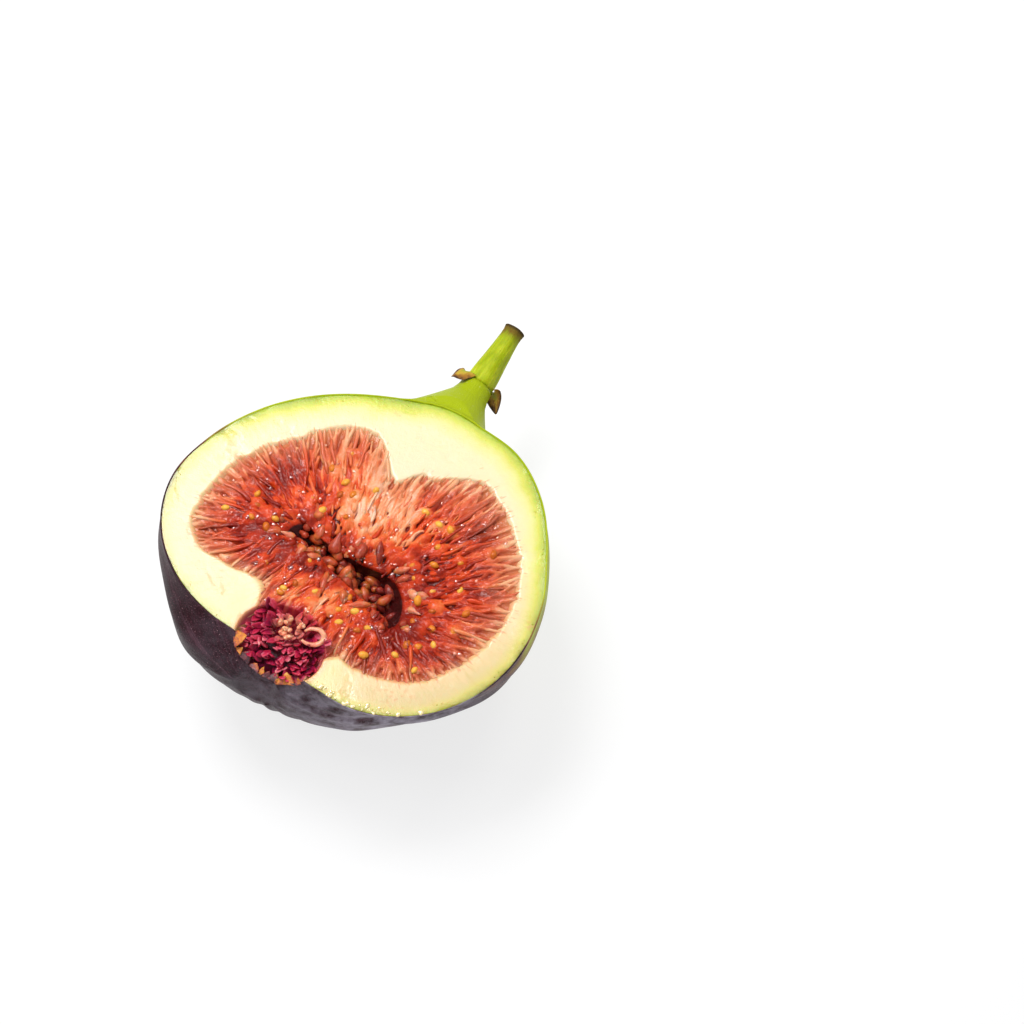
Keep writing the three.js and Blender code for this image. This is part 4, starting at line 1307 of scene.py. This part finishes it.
chance = np.random.default_rng(46)
degrees, share = chance.random(JUICE_BEADS) * 360, 0.02 + 0.9 * chance.random(JUICE_BEADS) ** 1.3
xy = on_face(degrees, share)
z = bed_height(xy[:, 0], xy[:, 1], share) + raised(xy[:, 0], xy[:, 1])[0] - 0.03
rim_turn = 258 + 38 * chance.random(RIM_BEADS) ** 1.4
from_edge = 0.35 + 1.1 * chance.random(RIM_BEADS) ** 1.5
rim = heading(rim_turn)[:, :2] * (cut_edge(rim_turn) - from_edge)[:, None]
spots = np.vstack([np.column_stack([xy, z]), np.column_stack([rim, 0 * rim_turn])])
spots = spots[dish_distance(spots) > 0.6]
across = 0.4 + 0.55 * chance.random(len(spots)) ** 1.6
aim = chance.random(len(spots)) * 2 * np.pi
ahead = polar(aim, 1, 0)
juice = scatter(
    "fig_juice", spots - ahead * across[:, None] / 2, ahead, UP,
    np.column_stack([across, across * 0.8, across * 0.34]), BEADS, juice_finish,
    jitter=(8, 8, 0), wobble=0.12, wave=0.7, seed=47, extra=floret_numbers,
)

# %% [markdown]
# ## Eye
# The eye is closed by scales that overlap like tiles, round a pale heart. Each is a thin pointed leaf that
# curls up. They are set in rings about the heart, the inner rings later and higher than the outer ones, and
# only where the eye's dish is. Where the skin meets the dish its edge dries to torn, papery flaps.

# %% Scales of the eye
PLACES = [0.0, 0.08, 0.22, 0.4, 0.58, 0.74, 0.88, 1.0]
TILE = [0.26, 0.36, 0.47, 0.5, 0.45, 0.34, 0.2, 0.03]
TORN = [0.5, 0.5, 0.44, 0.38, 0.26, 0.2, 0.09, 0.01]
LEAF_SIDES = 8
EYE_TURNS = (217, 254)
SOFT_TURN = 9


def on_leaf(p):
    return {"reach": np.clip(p[:, 0], 0, 1), "side": 2 * np.abs(p[:, 1])}


def leaf_shape(name, curl, widths=TILE, thick=0.3):
    """A thin scale along x that curls upwards, with its half widths at eight places."""
    turns = np.arange(LEAF_SIDES) * 2 * np.pi / LEAF_SIDES
    rows = []
    for x, w in zip(PLACES, widths):
        across, body = w * np.cos(turns), (0.1 + thick * w) * np.sin(turns)
        cup = 0.9 * across**2
        rows.append(np.stack([0 * turns + x - 0.2 * curl * x * x, across, body + cup + curl * x * x], 1))
    return small_shape(name, rows, LEAF_SIDES, on_leaf)


LEAVES = [leaf_shape(f"leaf {k}", curl) for k, curl in enumerate([0.2, 0.45, 0.8])]
HEART = EYE_AXIS * 14.4 - EYE_ACROSS * 0.5

scale_finish = Finish("fig eye scales", subsurface_weight=0.35, subsurface_scale=0.0006, **WET)
where = scale_finish.place()
veins = scale_finish.noise(where, 1.6, detail=3, rough=0.6)
tint, tip, side = (scale_finish.stored(key) for key in ("tint", "reach", "side"))
shade = tint * 0.6 + tip * 0.35 + (veins - 0.5) * 0.6 + side * 0.1 - 0.05
colour = scale_finish.ramp(shade, [
    (0.0, "46061c"), (0.22, "800e34"), (0.42, "ac1c40"), (0.62, "ca3c58"), (0.82, "de7080"), (1.0, "eea8a4"),
])
heart_near = scale_finish.stored("from_heart").rise(3.2, 1.2)
colour = scale_finish.mix(colour, "ec9a82", heart_near * 0.7)
inner = scale_finish.stored("inner").rise(0.5, 3.5)
colour = scale_finish.mix(colour, "de4c4a", inner * 0.7)
eye_finish = scale_finish.feed(
    base_color=colour,
    roughness=0.32 + veins * 0.2,
    normal=scale_finish.bump(veins, 0.12),
)


def eye_numbers(p):
    return {"from_heart": np.linalg.norm((p - HEART)[:, :2], axis=1), "inner": -(p - HEART) @ EYE_AXIS}


def eye_floor(xy):
    """The height that the scales are rooted at."""
    away = np.linalg.norm(xy - HEART[:2], axis=1)
    return np.maximum(dish_height(xy[:, 0], xy[:, 1]) + 0.35, -1.25 - 0.16 * away)


def rings_of_scales(chance):
    """Root, direction and size of every scale, in rings about the heart, from the outermost inwards."""
    spots, ahead, sizes = [], [], []
    for ring, radius in enumerate(np.arange(9.9, 0.5, -0.6)):
        count = max(5, int(2 * np.pi * radius / 0.9))
        turn = (np.arange(count) + 0.5 * ring + 0.35 * chance.normal(0, 1, count)) * 2 * np.pi / count
        out = np.column_stack([np.cos(turn), np.sin(turn)])
        xy = HEART[:2] + out * (radius + 0.25 * chance.normal(0, 1, count))[:, None]
        rise = 0.25 + 0.8 * chance.random(count)
        sway = 0.6 * chance.normal(0, 1, count)[:, None]
        spots.append(np.column_stack([xy, eye_floor(xy)]))
        ahead.append(np.column_stack([out * np.cos(sway) + out[:, ::-1] * [-1, 1] * np.sin(sway), rise]))
        length = (1.7 + 0.9 * chance.random(count)) * (0.72 if radius < 2 else 1)
        width = 0.75 + 0.5 * chance.random(count)
        sizes.append(np.column_stack([length, width, 0.75 + 0 * width]))
    return map(np.concatenate, (spots, ahead, sizes))


chance = np.random.default_rng(51)
spots, ahead, sizes = rings_of_scales(chance)
tips = spots + ahead / np.linalg.norm(ahead, axis=1)[:, None] * sizes[:, :1]
from_middle, tip_turn = np.hypot(tips[:, 0], tips[:, 1]), np.degrees(np.arctan2(tips[:, 1], tips[:, 0]))
over_pulp = (from_middle < pulp_edge(tip_turn) - 0.3) & (dish_distance(tips) < 1.3)
first, last = EYE_TURNS
skin_side = ease(tip_turn % 360, first, first + SOFT_TURN)
skin_side = skin_side * (1 - ease(tip_turn % 360, last - SOFT_TURN, last))
past_flesh = (from_middle > cut_edge(tip_turn) - 2.5) & (dish_distance(tips) < 0.9 * skin_side)
inside = over_pulp | past_flesh | ((dish_distance(spots) < -0.5) & (dish_distance(tips) < 0.0))
inside &= from_middle < cut_edge(tip_turn) - 0.3 + 2.1 * skin_side
spots, ahead, sizes = spots[inside], ahead[inside], sizes[inside]
eye_scales = scatter(
    "fig_eye_scales", spots, ahead, UP, sizes, LEAVES, eye_finish,
    jitter=(35, 12, 16), wobble=0.35, wave=1.6, seed=52, extra=eye_numbers,
)

# %% Pale heart and loose curl
IN_HEART = 16
chance = np.random.default_rng(61)
turn, away = chance.random(IN_HEART) * 2 * np.pi, 1.3 * chance.random(IN_HEART) ** 0.6
spots = HEART + polar(turn, away, -0.9)
ahead = polar(turn, 0.5, 1)
soft = Finish(
    "fig eye heart", subsurface_weight=0.5, subsurface_scale=0.0008, coat_weight=0.4, coat_roughness=0.1,
)
cloud = soft.noise(soft.place(), 1.5, detail=3)
colour = soft.ramp(cloud, [(0.3, "d9745a"), (0.5, "ee9c78"), (0.7, "f8c9a2")])
pale_finish = soft.feed(base_color=colour, roughness=0.3 + cloud * 0.2, normal=soft.bump(cloud, 0.1))
heart = scatter(
    "fig_eye_heart", spots, ahead, EYE_AXIS, np.tile([1.5, 0.9, 0.7], (IN_HEART, 1)), BULBS, pale_finish,
    jitter=(90, 15, 15), wobble=0.3, wave=1.2, seed=62,
)


def tube(name, line, radii, sides=10):
    """A closed tube along a line of points, thick or thin as the radii say."""
    line = np.asarray(line, float)
    ahead = np.gradient(line, axis=0)
    ahead /= np.linalg.norm(ahead, axis=1)[:, None]
    first = np.cross(ahead, UP)
    first /= np.linalg.norm(first, axis=1)[:, None]
    second = np.cross(first, ahead)
    turns = np.arange(sides) * 2 * np.pi / sides
    rows = [
        p + r * (np.outer(np.cos(turns), a) + 0.7 * np.outer(np.sin(turns), b))
        for p, r, a, b in zip(line, radii, first, second)
    ]
    points = np.concatenate(rows + [line[:1], line[-1:]])
    return weld(make_piece(name, points, closed_faces(len(rows), sides)))


CURL_MIDDLE = (-5.6, -12.9, -0.2)
CURL_HALF = (1.7, 1.15, 0.35)
bend = np.radians(np.linspace(-150, 130, 40))
loop = CURL_MIDDLE + CURL_HALF * np.column_stack([np.cos(bend), np.sin(bend), np.sin(bend * 1.5)])
curl = tube("fig_eye_curl", loop, 0.42 * np.sin(np.linspace(0.25, np.pi - 0.25, 40)) ** 0.6)
curl.data.materials.append(pale_finish)
report(curl)

# %% Papery flaps on the eye's edge
paper = Finish(
    "fig dry tips", coat_weight=0.15, coat_roughness=0.2, subsurface_weight=0.3, subsurface_scale=0.0005,
)
where = paper.place()
grain = paper.noise(where, 1.6, detail=4, rough=0.65)
shade = paper.stored("tint") * 0.6 + paper.stored("reach") * 0.3 + (grain - 0.5) * 1.1
colour = paper.ramp(shade, [
    (0.1, "3c141e"), (0.3, "6e2c34"), (0.45, "a04a34"), (0.6, "c8701e"), (0.78, "dc8c2c"), (1.0, "f0c47a"),
])
dry_finish = paper.feed(base_color=colour, roughness=0.4 + grain * 0.25, normal=paper.bump(grain, 0.2))

FLAPS = [
    # root x and y, length, width, and how orange
    (-16.9, -13.2, 2.3, 2.9, 0.80),
    (-16.2, -14.6, 1.0, 1.2, 1.00),
    (-15.2, -15.8, 1.8, 2.3, 0.22),
    (-14.1, -17.1, 1.2, 2.2, 0.42),
    (-13.1, -17.9, 1.4, 1.2, 0.85),
    (-12.2, -18.6, 1.2, 1.8, 0.16),
    (-11.2, -19.4, 1.6, 2.0, 0.26),
    (-10.5, -19.9, 0.8, 1.2, 1.00),
    (-9.3, -20.4, 1.8, 3.2, 0.82),
    (-7.4, -20.9, 1.1, 1.2, 0.55),
]
SHREDS = [leaf_shape(f"shred {k}", curl, TORN, 0.1) for k, curl in enumerate([0.12, 0.3])]
sides_of_dish = [skin_rings[cut_open, 0], skin_rings[cut_open, -1][::-1]]
edge = np.concatenate([line[line[:, 2] < -0.05] for line in sides_of_dish])
flap_list = np.array(FLAPS)
nearest = np.linalg.norm(edge[None, :, :2] - flap_list[:, None, :2], axis=2).argmin(1)
course = np.gradient(edge, axis=0)[nearest]
course /= np.linalg.norm(course, axis=1)[:, None]
lean = HEART - edge[nearest]
lean -= (lean * course).sum(1)[:, None] * course
lean = lean * [1, 1, 0] / np.linalg.norm(lean[:, :2], axis=1)[:, None] + 0.35 * UP
rim_tips = scatter(
    "fig_dry_tips", edge[nearest] - lean * 0.25, lean, UP,
    np.column_stack([flap_list[:, 2:4], np.full(len(FLAPS), 0.8)]), SHREDS, dry_finish,
    jitter=(12, 6, 6), wobble=0.6, wave=0.9, seed=72, tint=flap_list[:, 4],
)

# %% [markdown]
# ## Stem and bracts
# The stem is a slightly ridged rod that dries at its cut end to a grey-brown cap with a raised edge. Where
# it joins the neck stand three bracts: stubby triangular flaps, thin, yellow in the middle and brown at the
# edge, with their undersides painted a little browner as painted shade.

# %% Stem
STEM_RISE = math.radians(9)
STEM_AXIS = AXIS * math.cos(STEM_RISE) + UP * math.sin(STEM_RISE)
STEM_ROOT = NECK_END + 0.45 * AXIS
STEM_SIDE = np.cross(STEM_AXIS, UP) / np.linalg.norm(np.cross(STEM_AXIS, UP))
STEM_TOP = np.cross(STEM_SIDE, STEM_AXIS)
STEM_PROFILE = [
    (0, 0), (1.6, -0.02), (2.15, 0), (2.3, 0.2), (2.36, 0.6), (2.3, 1.6), (2.15, 3.2), (1.95, 5), (1.75, 7),
    (1.6, 8.8), (1.6, 9.7), (1.68, 10.25), (1.72, 10.45), (1.66, 10.6), (1.5, 10.62), (1.3, 10.52),
    (0.9, 10.45), (0.4, 10.5), (0, 10.48),
]
STEM_SIDES = 64


def build_stem():
    radius, along = np.array(STEM_PROFILE).T
    run = np.append(0, np.cumsum(np.hypot(np.diff(radius), np.diff(along))))
    steps = np.linspace(0, run[-1], 150)[1:-1]
    radius, along = np.interp(steps, run, radius), np.interp(steps, run, along)
    turn = np.arange(STEM_SIDES) * 2 * np.pi / STEM_SIDES
    ribs = 1 + 0.028 * np.cos(5 * turn + 0.4)[None] + 0.014 * wander(turn * 4, along[:, None] * 0.5, 81)
    round_part = radius[:, None] * ribs
    rows = [
        STEM_ROOT
        + a * STEM_AXIS
        + np.outer(r * np.cos(turn), STEM_SIDE)
        + np.outer(r * np.sin(turn), STEM_TOP)
        for a, r in zip(along, round_part)
    ]
    top = STEM_PROFILE[-1][1]
    points = np.concatenate(rows + [[STEM_ROOT], [STEM_ROOT + STEM_AXIS * top]])
    up_stem = np.append(np.repeat(along, STEM_SIDES), [0, top])
    numbers = {
        "up_stem": up_stem,
        "middle": np.append(np.repeat(radius, STEM_SIDES), [0, 0]),
        "course": polar(np.append(np.tile(turn, len(rows)), [0, 0]), 2, up_stem / 7),
    }
    return weld(make_piece("fig_stem", points, closed_faces(len(rows), STEM_SIDES), numbers))


stem = build_stem()
report(stem)
bark = Finish("fig stem", specular_ior_level=0.12, subsurface_weight=0.15, subsurface_scale=0.0006)
where = bark.place()
lines = bark.noise(bark.stored("course", "Vector"), 2.4, detail=4, rough=0.6)
cloud = bark.noise(where, 0.35, detail=3)
up_stem = bark.stored("up_stem")
colour = bark.ramp(lines * 0.6 + cloud * 0.45, [(0.3, "7f9208"), (0.5, "9ba80c"), (0.68, "b6bf24")])
dry = (up_stem + (cloud - 0.5) * 3.0 + (lines - 0.5) * 2.5).rise(7.6, 9.9)
colour = bark.mix(colour, "62421c", dry * 0.88)
brown_edge = up_stem.rise(9.9, 10.4)
colour = bark.mix(colour, "2e2214", brown_edge * bark.stored("middle").rise(0.6, 1.4) * 0.8)
colour = bark.mix(colour, "8c7c55", brown_edge * bark.stored("middle").rise(1.35, 0.9))
freckles = bark.cells(where, 1.3).rise(0.2, 0.1) * bark.noise(where, 0.6).rise(0.45, 0.6)
colour = bark.mix(colour, "6d6a1c", freckles * 0.45)
relief = lines * 0.7 + bark.noise(where, 4.0, detail=3) * 0.25 + freckles * 0.2
stem.data.materials.append(bark.feed(
    base_color=colour, roughness=0.38 + dry * 0.3 + cloud * 0.1, normal=bark.bump(relief, 0.2),
))

# %% Bracts
BRACTS = [(150, 2.7, 1.2), (242, 2.8, 0.0), (334, 3.4, 0.8)]
BRACT_RING = 2.7
BRACT_HALF_TURN = 44


def build_bract(number, middle_turn, length, twist):
    u, v = np.meshgrid(np.linspace(0, 1, 33), np.linspace(0, 1, 29))
    ragged = 1 + 0.06 * wander(u * 9, v * 7, 90 + number)
    turn = np.radians(middle_turn + BRACT_HALF_TURN * (2 * u - 1) * (1 - 0.9 * v**1.3) * ragged)
    out = BRACT_RING + length * (0.72 * v - 0.1 * v * v) + 0.08 * wander(u * 5, v * 4, 94 + number)
    back = 0.35 - length * (0.1 * v + 0.62 * v * v)
    thin = 0.16 + 0.3 * (1 - v) * (1 - (2 * u - 1) ** 4)
    back = back + twist * (2 * u - 1) * np.sin(np.pi * v)
    sheets = []
    for side in (-0.5, 0.5):
        lift = back + side * thin * (1 - np.abs(2 * u - 1) ** 6 * 0.6)
        place = (out * np.cos(turn))[..., None] * STEM_SIDE + (out * np.sin(turn))[..., None] * STEM_TOP
        sheets.append((STEM_ROOT + place + lift[..., None] * STEM_AXIS).reshape(-1, 3))
    rows, columns = u.shape
    size = rows * columns
    faces = grid_faces(rows, columns) + [face[::-1] for face in grid_faces(rows, columns, start=size)]
    index = np.arange(size).reshape(rows, columns)
    border = [*index[0], *index[1:, -1], *index[-1, -2::-1], *index[-2:0:-1, 0]]
    faces += [[b, a, a + size, b + size] for a, b in zip(border, border[1:] + border[:1])]
    numbers = {
        "reach": np.tile(v.ravel(), 2),
        "side": np.tile(np.abs(2 * u - 1).ravel(), 2),
        "under": np.repeat([1.0, 0.0], size),
    }
    return weld(make_piece(f"fig_bract_{number}", np.concatenate(sheets), faces, numbers))


flap = Finish("fig bract", specular_ior_level=0.2)
where = flap.place()
grain = flap.noise(where, 1.2, detail=4, rough=0.65)
# Dryness, with painted shade: the underside sheet is made a little browner, as shade under the bract.
dryness_and_shade = flap.stored("side") * 0.55 + flap.stored("reach") * 0.55
dryness_and_shade = dryness_and_shade + (grain - 0.5) * 0.8 + flap.stored("under") * 0.12
colour = flap.ramp(
    dryness_and_shade,
    [(0.2, "9a9a1c"), (0.42, "b8982a"), (0.62, "93641c"), (0.8, "62401a"), (1.0, "402814")],
)
bract_finish = flap.feed(base_color=colour, roughness=0.45 + grain * 0.25, normal=flap.bump(grain, 0.18))
bracts = [build_bract(k + 1, *shape) for k, shape in enumerate(BRACTS)]
for bract in bracts:
    bract.data.materials.append(bract_finish)
    report(bract)

# %% [markdown]
# ## Pieces and their slots
# Each piece is listed with the part of the imported model that it stands for and a named finish slot. It is
# hung from the model's root and that part is hidden; the slot is not given to it here.

# %% Pieces and their slots
for piece, nodes, slot in [
    (skin, ["skin"], "skin"),
    (flesh, ["flesh"], "flesh"),
    (bed, ["floret_pulp"], "pulp"),
    (strands, ["floret_pulp"], "pulp"),
    (seeds, ["floret_pulp"], "pulp"),
    (bulbs, ["floret_pulp"], "pulp"),
    (juice, ["floret_pulp"], "pulp"),
    (eye_scales, ["eye_scales"], "eye_scale"),
    (heart, ["eye_scales"], "eye_scale"),
    (curl, ["eye_scales"], "eye_scale"),
    (rim_tips, ["eye_rim_scales"], "dry_scale"),
    (stem, ["stem"], "stem"),
    *[(bract, [f"bract_{k + 1}"], "bract") for k, bract in enumerate(bracts)],
]:
    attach(piece, "root")
    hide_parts(*nodes)

# %% [markdown]
# ## Camera, floor and light
# The camera looks down at seventy degrees through a long lens. The floor is a grey sheet that glows white,
# a painted light like a light table: it keeps the shadows pale and lights the fruit a little from below.
# Light comes from a square panel at the upper left and two smaller ones, which give the wet face its sharp
# highlights, and from a white sky that fills the shadows.

# %% Camera, floor and light
LOOK_DOWN = math.radians(70)
CAMERA_AWAY = 355.6
CAMERA_RIGHT = 23.38
CAMERA_ABOVE = 6.32
forward = np.array([0, math.cos(LOOK_DOWN), -math.sin(LOOK_DOWN)])
above = np.array([0, math.sin(LOOK_DOWN), math.cos(LOOK_DOWN)])
camera = bpy.data.objects.new("camera", bpy.data.cameras.new("camera"))
camera.data.lens = 85
camera.data.clip_start = 0.01
aside = CAMERA_RIGHT * np.array([1, 0, 0])
camera.location = (CUT_MIDDLE - CAMERA_AWAY * forward + aside + CAMERA_ABOVE * above) * 0.001
camera.rotation_euler = (math.pi / 2 - LOOK_DOWN, 0, 0)
scene.collection.objects.link(camera)
scene.camera = camera


FRUIT_MIDDLE = Vector((0, 0, 15))


def add_panel(name, place_mm, size_mm, watts):
    """A square white lamp that faces the fruit."""
    lamp = bpy.data.lights.new(name, "AREA")
    lamp.shape, lamp.size, lamp.energy = "SQUARE", size_mm / 1000, watts
    panel = bpy.data.objects.new(name, lamp)
    panel.location = Vector(place_mm) / 1000
    panel.rotation_euler = (FRUIT_MIDDLE - Vector(place_mm)).to_track_quat("-Z", "Y").to_euler()
    scene.collection.objects.link(panel)


add_panel("key panel", (-90, 170, 420), 170, 1.5)
add_panel("left panel", (-230, 40, 380), 110, 0.35)
add_panel("right panel", (150, 190, 400), 110, 0.35)

bpy.ops.mesh.primitive_plane_add(size=6)
floor = bpy.context.object
floor.name = "floor"
GREY, WHITE = (0.2, 0.2, 0.2, 1), (1, 1, 1, 1)
# Painted light: the grey sheet glows white like a light table, so its shadows stay pale and it lights the
# fruit from below.
sheet = Finish("white sheet", roughness=0.6, base_color=GREY, emission_color=WHITE, emission_strength=0.74)
floor.data.materials.append(sheet.material)

scene.world = bpy.data.worlds.new("sky")
scene.world.use_nodes = True
sky = scene.world.node_tree.nodes["Background"].inputs
sky["Color"].default_value = (0.97, 0.98, 1, 1)
sky["Strength"].default_value = 0.5
scene.view_settings.view_transform = "Standard"
print("camera at", [round(x, 3) for x in camera.location])
